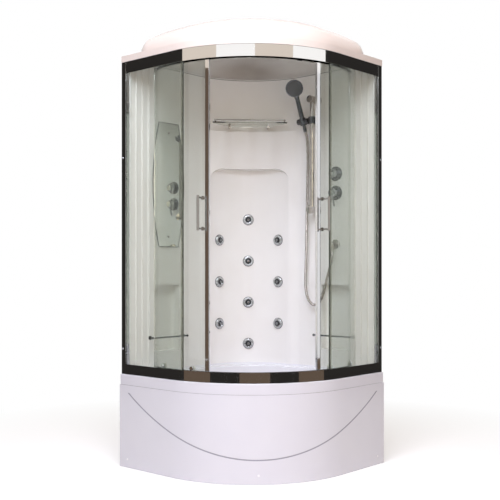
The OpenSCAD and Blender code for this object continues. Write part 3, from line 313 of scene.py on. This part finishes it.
def cast_acrylic(name, colour, shade, roughness, wave, groove_shade=None):
    """Glossy moulded sheet in a colour that drifts towards a shade of it; groove_shade is the colour of the
    shade painted in the apron's groove.
    """
    made, tree = start_material(name)
    place = add(tree, "TexCoord", {}, "Object")
    waves = add(tree, "TexNoise", {"Vector": place, "Scale": 1 / (WAVE_MM * MM), "Detail": 1.0})
    wipes = add(tree, "TexNoise", {"Vector": place, "Scale": 1 / (WIPE_MM * MM), "Detail": 4.0,
                                   "Distortion": 0.6})
    base = add(tree, "Mix", {"data_type": "RGBA", 0: waves, 6: linear(colour), 7: linear(shade)}, 2)
    # the grey line in the apron's groove is painted shade
    if groove_shade:
        groove = groove_shade_mask(tree, place)
        base = add(tree, "Mix", {"data_type": "RGBA", 0: groove, 6: base, 7: linear(groove_shade)}, 2)
    rough = add(tree, "MapRange", {"Value": wipes, "From Min": 0.3, "From Max": 0.7,
                                   "To Min": roughness * 0.7, "To Max": roughness * 1.3})
    bump = add(tree, "Bump", {"Height": waves, "Strength": 0.35, "Distance": wave * MM})
    shader = add(tree, "BsdfPrincipled", {"Base Color": base, "Roughness": rough, "IOR": 1.49,
                                          "Specular IOR Level": 0.5, "Normal": bump})
    add(tree, "OutputMaterial", {"Surface": shader})
    return made


acrylic_tray = cast_acrylic("cast_acrylic_tray", "#F0F0F4", "#EBEBF1", 0.16, 2)
# the apron's acrylic is darker and cooler than the tray's: its colour paints the shade on the cabin's
# outward faces
apron_acrylic_painted_shade = cast_acrylic("cast_acrylic_apron_painted_shade", "#E2E2E8", "#DDDDE5", 0.16, 2, "#A3A3AE")
acrylic_wall = cast_acrylic("cast_acrylic_wall", "#F6F5F4", "#F0EEEC", 0.1, 3)
# the roof's outside is darker and warmer than the walls' white acrylic: its colour paints warm light and
# shade
roof_acrylic_painted_warm_shade = cast_acrylic("cast_acrylic_roof_painted_warm_shade", "#DFD4CC", "#D9CEC6", 0.2, 2)
print("made", acrylic_tray.name, apron_acrylic_painted_shade.name, acrylic_wall.name, roof_acrylic_painted_warm_shade.name)

# %% [markdown]
# Chrome plate on brass and on aluminium profiles is a near-perfect mirror with a cold grey tone.
# Thumb marks and dried drops make it a little dull in places, which a fine noise in the roughness
# shows. Drawn profiles also keep faint lines along their length, so the frame gets its own chrome.
# Chrome over plastic, over thin tube and on the hose's strip gets darker, warmer colours, and the holder,
# the plates, the short rails, the slider and the hand shower a far darker one: these colours paint the dark
# room that the metal would mirror. The trims of the jets are satin, and bolts and feet are zinc plated.

# %% Metals
def plated(name, colour, roughness, marks_mm, grain=(1, 1, 1), lines=0.0):
    """Polished or satin metal with marks of a real size; grain stretches them along an axis."""
    made, tree = start_material(name)
    place = add(tree, "TexCoord", {}, "Object")
    placed = add(tree, "Mapping", {"Vector": place, "Scale": grain})
    marks = add(tree, "TexNoise", {"Vector": placed, "Scale": 1 / (marks_mm * MM), "Detail": 3.0})
    rough = add(tree, "MapRange", {"Value": marks, "From Min": 0.35, "From Max": 0.75,
                                   "To Min": roughness * 0.5, "To Max": roughness * 1.8})
    bump = add(tree, "Bump", {"Height": marks, "Strength": lines, "Distance": 0.2 * MM})
    shader = add(tree, "BsdfPrincipled", {"Base Color": linear(colour), "Metallic": 1.0, "Roughness": rough,
                                          "Normal": bump})
    add(tree, "OutputMaterial", {"Surface": shader})
    return made


chrome = plated("chrome_plated_brass", "#DCDDDF", 0.05, 18)
# the darker chrome colours below paint the dark room that these fittings mirror
chrome_abs_painted_darker = plated("chrome_plated_abs", "#B4B5B8", 0.07, 14)
chrome_painted_dark = plated("chrome_plate_painted_dark", "#5E5F62", 0.06, 12)
chrome_tube_painted_darker = plated("chrome_plated_steel_tube", "#B5B0AB", 0.05, 18)
chrome_frame = plated("chrome_plated_aluminium", "#D9D9DB", 0.04, 25, (1, 1, 0.06), 0.02)
satin_chrome = plated("satin_chrome_plated_abs", "#C2C3C5", 0.3, 10)
# the hose's darker, warmer colour paints the room that it mirrors
hose_metal_painted_darker = plated("chrome_plated_steel_strip", "#A8A29C", 0.14, 8)
zinc = plated("zinc_plated_steel", "#B9BCC0", 0.35, 6, lines=0.2)
for made in (hose, hose_upper):
    made.data.materials.append(hose_metal_painted_darker)
print("made", chrome.name, chrome_frame.name, chrome_painted_dark.name, hose_metal_painted_darker.name, zinc.name)

# %% [markdown]
# Toughened clear glass is faintly green where light runs a long way through it. Light has to reach
# the walls through the panes, and true glass would throw its shadow instead, so shadow rays meet a
# transparent shader in the glass's own tint. Lime marks make the surface slightly dull in patches.

# %% Glass
DROP_MM = 40


def clear_glass(name, tint, roughness, shadow_tint):
    """A clear pane whose shadow is only a tint."""
    made, tree = start_material(name)
    place = add(tree, "TexCoord", {}, "Object")
    drops = add(tree, "TexNoise", {"Vector": place, "Scale": 1 / (DROP_MM * MM), "Detail": 5.0})
    rough = add(tree, "MapRange", {"Value": drops, "From Min": 0.55, "From Max": 0.8,
                                   "To Min": 0.0, "To Max": roughness})
    pane = add(tree, "BsdfPrincipled", {"Base Color": linear(tint), "Roughness": rough, "IOR": 1.5,
                                        "Transmission Weight": 1.0})
    clear = add(tree, "BsdfTransparent", {"Color": linear(shadow_tint)})
    either = ray_is(tree, "Is Shadow Ray", "Is Diffuse Ray")
    shader = add(tree, "MixShader", {0: either, 1: pane, 2: clear})
    add(tree, "OutputMaterial", {"Surface": shader})
    return made


glass = clear_glass("toughened_clear_glass", "#E1E4DF", 0.03, "#F3F5F2")
clear_pvc = clear_glass("clear_pvc_seal", "#D9D9D2", 0.25, "#E6E6E0")
shelf_glass = clear_glass("polished_shelf_glass", "#F3F8F6", 0.02, "#F4F9F7")
print("made", glass.name, clear_pvc.name, shelf_glass.name)

# %% [markdown]
# The mirror is float glass silvered on its back. Seen from the front it is a mirror with a cool
# tone and nothing else, so a metal with hardly any blur stands for it; its ground edge is a piece of
# its own, further down.

# %% Silvered mirror
LIME_MM = 60
mirror_silver, tree = start_material("silvered_float_glass")
place = add(tree, "TexCoord", {}, "Object")
marks = add(tree, "TexNoise", {"Vector": place, "Scale": 1 / (LIME_MM * MM), "Detail": 4.0})
rough = add(tree, "MapRange", {"Value": marks, "From Min": 0.5, "From Max": 0.8,
                               "To Min": 0.0, "To Max": 0.05})
shader = add(tree, "BsdfPrincipled", {"Base Color": linear("#E0E4E2"), "Metallic": 1.0, "Roughness": rough})
add(tree, "OutputMaterial", {"Surface": shader})
print("made", mirror_silver.name)

# %% [markdown]
# The last group is moulded plastic, rubber and powder coat. They differ in gloss and in the grain
# of their surface: a fine pebble on the dark nozzles, almost none on the white caps, a coarse
# orange peel on the painted frame, and a dull, uneven skin on the grey beads that paint shadow in the
# joints.

# %% Plastics, rubber and paint
def moulded(name, colour, shade, roughness, grain_mm, depth, ior=1.5):
    """A matt or satin surface with a grain of a real size and a slight drift in its colour."""
    made, tree = start_material(name)
    place = add(tree, "TexCoord", {}, "Object")
    grain = add(tree, "TexNoise", {"Vector": place, "Scale": 1 / (grain_mm * MM), "Detail": 2.0})
    drift = add(tree, "TexNoise", {"Vector": place, "Scale": 1 / (25 * grain_mm * MM), "Detail": 2.0})
    base = add(tree, "Mix", {"data_type": "RGBA", 0: drift, 6: linear(colour), 7: linear(shade)}, 2)
    rough = add(tree, "MapRange", {"Value": drift, "From Min": 0.3, "From Max": 0.7,
                                   "To Min": roughness * 0.8, "To Max": roughness * 1.2})
    bump = add(tree, "Bump", {"Height": grain, "Strength": 0.5, "Distance": depth * MM})
    shader = add(tree, "BsdfPrincipled", {"Base Color": base, "Roughness": rough, "IOR": ior,
                                          "Normal": bump})
    add(tree, "OutputMaterial", {"Surface": shader})
    return made


dark_plastic = moulded("black_abs_nozzles", "#333436", "#3D3E40", 0.35, 1.5, 0.1)
white_plastic = moulded("white_abs_caps", "#F4F4F6", "#ECECF0", 0.3, 2, 0.05)
acetal = moulded("white_acetal_rollers", "#E6E5E1", "#DAD9D4", 0.4, 2, 0.05)
# a grey for the thin beads that paint shadow in the joints
shadow_line_grey = moulded("grey_painted_shadow_line", "#8A8988", "#94928F", 0.6, 1.5, 0.1, 1.41)
ground_edge = moulded("ground_glass_edge", "#343A39", "#3E4543", 0.5, 1, 0.1)
spray_grey = moulded("grey_rubber_spray_face", "#55585B", "#5E6164", 0.4, 1.5, 0.1)
paint = moulded("grey_powder_coat", "#77797D", "#6C6E72", 0.5, 3, 0.2)
pipe_plastic = moulded("orange_pvc_pipe", "#D98A4B", "#C97B3F", 0.35, 4, 0.1)
print("made", dark_plastic.name, white_plastic.name, acetal.name, shadow_line_grey.name, paint.name)

# %% [markdown]
# The construction model's pieces have knife edges, as drawings do. Real ones are rounded by the
# mould, the file or the die, and it is on those edges that a highlight sits. So each visible piece
# is copied, its loose triangles are merged, flat areas become single faces, and a Bevel modifier
# rounds every edge sharper than a limit. Round stretches are shaded smooth. The list gives each
# piece's radius in mm and its finish.

# %% Rounded copies of the construction's pieces
SMOOTH_A = math.radians(34)
BEVEL_A = math.radians(32)


def bmesh_of(node):
    """The node's mesh with its triangles merged and its flat areas dissolved."""
    shape = bmesh.new()
    shape.from_mesh(frame["nodes"][node].data)
    bmesh.ops.remove_doubles(shape, verts=shape.verts, dist=0.00002)
    bmesh.ops.dissolve_limit(shape, angle_limit=math.radians(0.5), verts=shape.verts, edges=shape.edges)
    return shape


def finish_mesh(shape, name, material, smooth_a=SMOOTH_A):
    """Turns the bmesh into an object that is smooth except at its sharp edges."""
    for face in shape.faces:
        face.smooth = True
    for edge in shape.edges:
        edge.smooth = len(edge.link_faces) == 2 and edge.calc_face_angle(0) < smooth_a
    mesh = bpy.data.meshes.new(name)
    shape.to_mesh(mesh)
    shape.free()
    made = new_object(name, mesh)
    mesh.materials.append(material)
    return made


def dress(node, edge_mm, material):
    """A copy of the node with rounded edges, which stands for it."""
    made = finish_mesh(bmesh_of(node), node + "_finish", material)
    bevel = made.modifiers.new("rounded_edges", "BEVEL")
    bevel.width = edge_mm * MM
    bevel.segments = 2
    bevel.limit_method = "ANGLE"
    bevel.angle_limit = BEVEL_A
    bevel.harden_normals = True
    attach(made, BODY[node])
    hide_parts(node)
    return made


EDGES = {
    "tray": (3, acrylic_tray), "apron": (0.5, apron_acrylic_painted_shade), "roof": (4, roof_acrylic_painted_warm_shade),
    "back_panel": (5, acrylic_wall), "left_side_panel": (4, acrylic_wall),
    "right_side_panel": (4, acrylic_wall), "wall_profiles": (0.8, chrome_frame),
    "top_rail": (0.8, chrome_frame), "bottom_rail": (0.8, chrome_frame),
    "left_door_edge": (1.5, chrome_frame), "right_door_edge": (1.5, chrome_frame),
    "left_door_handle": (1, chrome_tube_painted_darker), "right_door_handle": (1, chrome_tube_painted_darker),
    "towel_rails": (0.6, chrome_painted_dark), "shelf_rail": (0.8, chrome_tube_painted_darker), "slide_bar": (1, chrome_tube_painted_darker),
    "slider": (0.8, chrome_painted_dark), "shower_holder": (1, chrome_painted_dark), "outlet_elbow": (0.8, chrome_tube_painted_darker),
    "mixer_valve": (0.8, chrome_painted_dark), "mixer_lever": (1, chrome_abs_painted_darker), "diverter_knob": (1, chrome_abs_painted_darker),
    "hand_shower": (0.8, chrome_painted_dark), "cover_screws": (0.5, white_plastic), "drain_waste": (0.8, zinc),
    "drain_strainer": (0.8, chrome), "left_roller_mounts": (0.7, chrome),
    "right_roller_mounts": (0.7, chrome), "fixed_glass_seals": (0.6, clear_pvc),
}
dressed = {node: dress(node, *finish) for node, finish in EDGES.items()}
print("rounded", len(dressed), "pieces")

# %% [markdown]
# Three of these copies have a second finish. The apron's screws have white caps, and the screws
# higher up are bright metal. The dome is bright inside, where it takes the walls' acrylic; its outside keeps
# a darker, warmer colour that paints warm shade. The tray's outer lip takes the apron's darker colour, which
# paints shade on it.

# %% Second finishes
SCREWS_BRIGHT_Z = 0.3
LIP_LOW_Z = 0.38


def second_finish(node, material, test):
    """Gives the faces that pass the test a finish of their own."""
    mesh = dressed[node].data
    mesh.materials.append(material)
    for face in mesh.polygons:
        face.material_index = 1 if test(face.center, face.normal) else 0


def faces_out(place, way, z):
    """Whether a face looks away from the middle of the cabin at that height."""
    return way.dot(place - Vector((0, ARC_Y, z))) > 0


second_finish("cover_screws", chrome, lambda place, way: place.z > SCREWS_BRIGHT_Z)
# the roof's outside keeps its painted warm shade; its inward faces take the walls' white acrylic
second_finish("roof", acrylic_wall, lambda place, way: not faces_out(place, way, TOP_Z))
# the tray's outward lip faces take the apron's darker colour as painted shade
second_finish("tray", apron_acrylic_painted_shade, lambda place, way: place.z > LIP_LOW_Z and abs(way.z) < 0.5
              and faces_out(place, way, RIM_Z))
print("gave three pieces a second finish")

# %% [markdown]
# Everything else keeps its own mesh, and only its finish changes: panes, hidden steel and pipes, the
# wheels of the doors and the nozzles.

# %% Finishes of the pieces that keep their mesh
PLAIN = {
    "tray_frame": paint, "tray_feet": zinc, "panel_bolts": zinc, "left_fixed_glass": glass,
    "right_fixed_glass": glass, "left_door_glass": glass, "right_door_glass": glass,
    "mirror": mirror_silver, "glass_shelf": shelf_glass, "hand_shower_face": dark_plastic,
    "jet_bodies": chrome, "water_pipes": pipe_plastic,
}
for node, shown in frame["nodes"].items():
    finish = PLAIN.get(node)
    if finish is None and "wheel" in node:
        finish = acetal
    if finish is None and "nozzle" in node:
        finish = dark_plastic
    if finish is not None:
        for place in shown.material_slots:
            place.material = finish
print("finished", len(PLAIN), "named pieces, the wheels and the nozzles")

# %% [markdown]
# Some details are too small for the construction model, so they are made here. Round trims are
# spun from a short profile, given in mm: rings on every jet and its nozzle, the caps on the
# mirror's screws, the ball ends of the short rails and the wide face of the hand shower.

# %% Round trims
def spun(name, profile, place, material, body="cabin"):
    """Turns a profile of radius and height in mm round the frame's z axis; it closes by itself."""
    shape = bmesh.new()
    dots = [shape.verts.new((r * MM, 0, h * MM)) for r, h in profile]
    pairs = list(zip(dots, dots[1:]))
    if profile[0][0] > 0:
        pairs.append((dots[-1], dots[0]))
    edges = [shape.edges.new(pair) for pair in pairs]
    bmesh.ops.spin(shape, geom=dots + edges, axis=(0, 0, 1), cent=(0, 0, 0), angle=2 * math.pi,
                   steps=40, use_merge=True)
    bmesh.ops.remove_doubles(shape, verts=shape.verts, dist=0.00001)
    bmesh.ops.recalc_face_normals(shape, faces=shape.faces)
    bmesh.ops.transform(shape, matrix=place, verts=shape.verts)
    made = finish_mesh(shape, name, material, math.radians(50))
    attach(made, body)
    return made


# The back rest is round, about an upright axis that stands in front of the room's corner
REST_BACK = 0.475
REST_R = 0.2486
JET_LOW_Z = 0.548
JET_STEP = 0.217
JET_SIDE_A = 38
JET_RING = [(15.5, 8.3), (17, 9), (23, 9), (25.5, 7), (27, 2), (27, 0.3), (26, 0.3), (24.5, 6.5),
            (22, 8.1), (15.5, 8.1)]
JET_DARK_RING = [(26.9, 0.2), (28.6, 0.2), (28.4, 1.6), (26.9, 2)]
JET_TIP = [(3.1, 15.5), (5.4, 15.4), (5.8, 14.8), (3.1, 14.8)]
jet_places = [(0, JET_LOW_Z + JET_STEP * i) for i in range(4)]
jet_places += [(side * JET_SIDE_A, JET_LOW_Z + JET_STEP * (i + 0.5)) for side in (-1, 1) for i in range(3)]
for i, (angle, z) in enumerate(jet_places):
    jet = moved(0, CORNER_Y - REST_BACK, z) @ turned(-angle, "Z") @ moved(0, REST_R, 0) @ turned(90, "X")
    spun(f"jet_trim_{i + 1}", JET_RING, jet, satin_chrome)
    # a dark ring round each trim stands for the gasket under it and also paints the dark outer band that the
    # trim mirrors
    spun(f"jet_dark_ring_{i + 1}", JET_DARK_RING, jet, dark_plastic)
    spun(f"jet_tip_{i + 1}", JET_TIP, jet, satin_chrome, f"jet_nozzle_{i + 1}")

MIRROR_AT, MIRROR_Z, MIRROR_H = 0.648, 1.05, 0.607
MIRROR_SCREW_IN = 0.049
SCREW_CAP = [(0, 9), (3.5, 8.7), (5.6, 7.6), (6.5, 5.2), (0, 5.2)]
for i, z in enumerate((MIRROR_Z + MIRROR_SCREW_IN, MIRROR_Z + MIRROR_H - MIRROR_SCREW_IN)):
    spun(f"mirror_screw_cap_{i + 1}", SCREW_CAP, on_left_wall(MIRROR_AT, z), chrome_tube_painted_darker)

RAIL_AT, RAIL_Z, RAIL_HALF = 0.658, 0.608, 0.1135
BALL_R, BALL_OUT = 6.2, 28
ball_arc = [math.radians(a) for a in range(20, 180, 20)]
ball = [(0, BALL_OUT + BALL_R), *[(BALL_R * math.sin(a), BALL_OUT + BALL_R * math.cos(a)) for a in ball_arc],
        (0, BALL_OUT - BALL_R)]
for wall_name, on_wall in (("left", on_left_wall), ("right", on_right_wall)):
    for end_name, along in (("rear", -RAIL_HALF), ("front", RAIL_HALF)):
        spun(f"{wall_name}_rail_end_{end_name}", ball, on_wall(RAIL_AT + along, RAIL_Z), chrome_painted_dark)

HEAD_ALONG, FACE_OUT = 0.178, 0.024
HEAD_TURN_A, HEAD_TILT_A = 35, 100
SPRAY_FACE = [(0, 1.3), (38, 1.3), (40.5, 0.5), (40.5, -1), (0, -1)]
on_head = (FROM_CORNER @ moved(*HOLDER) @ turned(LEAN_A, "Y") @ moved(0, 0, HEAD_ALONG)
           @ turned(HEAD_TURN_A, "Z") @ turned(HEAD_TILT_A, "Y") @ moved(0, 0, FACE_OUT))
spun("spray_face", SPRAY_FACE, on_head, spray_grey, BODY["hand_shower"])
print("spun the trims of", len(jet_places), "jets, two caps, four ball ends and the spray face")

# %% [markdown]
# Painted shadow lines and ground edges are thin beads along a path: grey lines paint the shadow under the
# tray's lip, under the brim and where ceiling and walls meet, and ground edges run down the free edge of
# each fixed pane and round the mirror.

# %% Beads
def bead(name, points, radius_mm, material):
    """A thin round bead along a path."""
    made = new_object(name, tube_along(name, points, [radius_mm * MM] * len(points), 2))
    made.data.materials.append(material)
    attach(made, "cabin")
    return made


def round_plan(centre, radius, start, z, quarter=24):
    """A quarter of an arc in plan, seen from the room's corner."""
    angles = [math.radians(start + 90 * i / quarter) for i in range(quarter + 1)]
    return [FROM_CORNER @ Vector((centre + radius * math.cos(a), centre + radius * math.sin(a), z))
            for a in angles]


def front_line(inset, z, end=0.03):
    """Along the cabin's curved outline, set in from the apron's face."""
    edge = SIDE - inset
    return [FROM_CORNER @ Vector((edge, end, z)), *round_plan(STRAIGHT, edge - STRAIGHT, 0, z),
            FROM_CORNER @ Vector((end, edge, z))]


def ceiling_line(radius=0.37, end=0.77):
    """Along the right wall, the rounded corner and the left wall, at the walls' top."""
    return [FROM_CORNER @ Vector((WALL, end, TOP_Z)), *round_plan(WALL + radius, radius, 180, TOP_Z),
            FROM_CORNER @ Vector((end, WALL, TOP_Z))]


def mirror_line(half_w=0.101, bow=0.039, steps=24):
    """Round the mirror, whose two long sides are bowed."""
    half_h = MIRROR_H / 2
    radius = (half_h ** 2 + bow ** 2) / (2 * bow)
    heights = [-half_h + MIRROR_H * i / steps for i in range(steps + 1)]
    side = [(half_w - radius + math.sqrt(radius ** 2 - y * y), y) for y in heights]
    middle = on_left_wall(MIRROR_AT, MIRROR_Z + half_h)
    return [middle @ Vector((x, y, 0.004)) for x, y in side + [(-x, -y) for x, y in side] + side[:1]]


LIP_Z, LIP_IN, BRIM_IN = 0.391, 0.0045, 0.0115
# grey beads paint the shadow under the lip, under the brim and where ceiling and walls meet
bead("lip_shadow_line", front_line(LIP_IN, LIP_Z), 1.0, shadow_line_grey)
bead("brim_shadow_line", front_line(BRIM_IN, TOP_Z - 0.0005), 0.8, shadow_line_grey)
bead("ceiling_shadow_line", ceiling_line(), 1.6, shadow_line_grey)
PANE_R, PANE_A, PANE_LOW_Z, PANE_TOP_Z = 0.532, 38.4, 0.49, 1.87
for side_name, angle in (("left", -PANE_A), ("right", PANE_A)):
    ends = [on_front(angle, z, PANE_R).translation for z in (PANE_LOW_Z, PANE_TOP_Z)]
    bead(side_name + "_pane_edge", ends, 1.0, ground_edge)
bead("mirror_edge", mirror_line(), 2.2, ground_edge)
print("laid three joints and three ground edges")

# %% [markdown]
# The stage is a plain pale floor and a white surround. The world shows pure white to the camera,
# to mirrors and to glass, and gives only a soft warm light to everything else. The floor is white
# to them too, and a fade hides where it ends; near the cabin it is matt, so its shadow stays.

# %% Floor and surround
SEEN_AS_WHITE = ("Is Camera Ray", "Is Glossy Ray", "Is Transmission Ray")
world = bpy.data.worlds.new("studio")
bpy.context.scene.world = world
world.use_nodes = True
tree = world.node_tree
tree.nodes.clear()
seen = ray_is(tree, *SEEN_AS_WHITE)
soft = add(tree, "Background", {"Color": linear("#FBEBDA"), "Strength": 0.3})
white = add(tree, "Background", {"Color": (1, 1, 1, 1), "Strength": 1.0})
both = add(tree, "MixShader", {0: seen, 1: soft, 2: white})
add(tree, "OutputWorld", {"Surface": both})


def floor_finish():
    """Pale matt floor that turns pure white away from the cabin for the camera and for mirrors."""
    made, tree = start_material("pale_floor")
    place = add(tree, "TexCoord", {}, "Object")
    away = add(tree, "VectorMath", {"operation": "LENGTH", 0: place}, "Value")
    far = add(tree, "MapRange", {"Value": away, "From Min": 0.8, "From Max": 2.2})
    seen = ray_is(tree, *SEEN_AS_WHITE)
    matt = add(tree, "BsdfDiffuse", {"Color": linear("#E6E6E6")})
    lift = add(tree, "Math", {"operation": "MULTIPLY", 0: seen, 1: 0.45})
    near = add(tree, "AddShader", {0: matt, 1: add(tree, "Emission", {"Strength": lift})})
    white = add(tree, "Emission", {"Strength": 1.0})
    fade = add(tree, "Math", {"operation": "MULTIPLY", 0: seen, 1: far})
    shader = add(tree, "MixShader", {0: fade, 1: near, 2: white})
    add(tree, "OutputMaterial", {"Surface": shader})
    return made


shape = bmesh.new()
bmesh.ops.create_grid(shape, x_segments=1, y_segments=1, size=30)
floor = finish_mesh(shape, "floor", floor_finish())
floor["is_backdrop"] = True
print("floor and surround are white")

# %% [markdown]
# Chrome looks like chrome only when it has something dark to mirror. A studio stands boards round
# such an object, and here they stand in a circle: one row high up, whose image falls on the top
# rail, one row by the floor for the bottom rail, and a few between them for the uprights. Only
# reflections see them, and their glow makes up for what chrome swallows. Each row has a broad dark
# board at either side and boards of one width between, whose plain paints take turns.

# %% Boards
BOARD_AWAY = 3.2
BOARD_GLOW = 1.38
BOARD_REACH = 120
BLACK, BROWN, SAND, WHITE = "#282624", "#5E5044", "#D8CCBE", "#FAF8F4"


def board(low, high, start, end, colour):
    """An upright board between two angles and two heights, whose face looks at the cabin."""
    shape = bmesh.new()
    foot = [shape.verts.new(turned(a, "Z") @ Vector((0, -BOARD_AWAY, low))) for a in (start, end)]
    edge = shape.edges.new(foot)
    top = bmesh.ops.extrude_edge_only(shape, edges=[edge])["geom"]
    corners = [v for v in top if isinstance(v, bmesh.types.BMVert)]
    bmesh.ops.translate(shape, verts=corners, vec=(0, 0, high - low))
    made, tree = start_material("board_paint")
    glow = add(tree, "Emission", {"Color": linear(colour), "Strength": BOARD_GLOW})
    add(tree, "OutputMaterial", {"Surface": glow})
    panel = finish_mesh(shape, "board", made)
    panel.visible_camera = False
    panel.visible_diffuse = False
    panel.visible_shadow = False
    panel.visible_transmission = False
    panel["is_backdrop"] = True
    return panel


def board_row(low, high, side, width, gap, paints):
    """A row of boards: a dark one beyond the side angle at both ends, and equal ones between."""
    ends = [board(low, high, -BOARD_REACH, -side, BLACK), board(low, high, side, BOARD_REACH, BLACK)]
    starts = range(-side + gap, side, width + gap)
    return ends + [board(low, high, a, a + width, paints[i % len(paints)]) for i, a in enumerate(starts)]


boards = board_row(low=2.42, high=3.2, side=72, width=36, gap=0, paints=(SAND, WHITE))
boards += board_row(low=0.26, high=2.46, side=68, width=8, gap=16, paints=(BROWN,))
boards += board_row(low=0.001, high=0.26, side=70, width=28, gap=0, paints=(BROWN, BLACK))
print(len(boards), "boards stand round the cabin")

# %% [markdown]
# The lamps are three soft boxes: a cool one high in front, which the roof keeps off the top of the
# walls, a warm one over the roof, and a weak warm one far behind the camera that fills the shadows.

# %% Lamps
LAMPS_LOOK_Z = 0.9


def soft_box(name, angle, height, distance, size, watts, colour):
    """A square lamp that faces the cabin's middle."""
    data = bpy.data.lights.new(name, "AREA")
    data.shape = "SQUARE"
    data.size = size
    data.energy = watts
    data.color = linear(colour)[:3]
    made = bpy.data.objects.new(name, data)
    a = math.radians(angle)
    made.location = (distance * math.sin(a), -distance * math.cos(a), height)
    made.rotation_euler = (Vector((0, 0, LAMPS_LOOK_Z)) - made.location).to_track_quat("-Z", "Y").to_euler()
    bpy.context.scene.collection.objects.link(made)
    return made


soft_box("cool_key", angle=-12, height=3.3, distance=2.6, size=2.2, watts=128, colour="#ECEFFF")
soft_box("warm_top", angle=5, height=4.0, distance=1.0, size=2.2, watts=24, colour="#FFE8D8")
fill = soft_box("warm_fill", angle=10, height=1.3, distance=6.0, size=2.5, watts=62, colour="#FFE6D2")
fill.visible_glossy = False
print("three lamps are ready")

# %% [markdown]
# Last comes the size: the box of everything shown is set beside the construction's box.

# %% Size
look_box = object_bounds()
pairs = zip((*look_box[0], *look_box[1]), (*cad_box[0], *cad_box[1]))
grown = [round(1000 * (a - b), 1) for a, b in pairs]
print("the construction's box and the visual box differ by", grown, "mm")
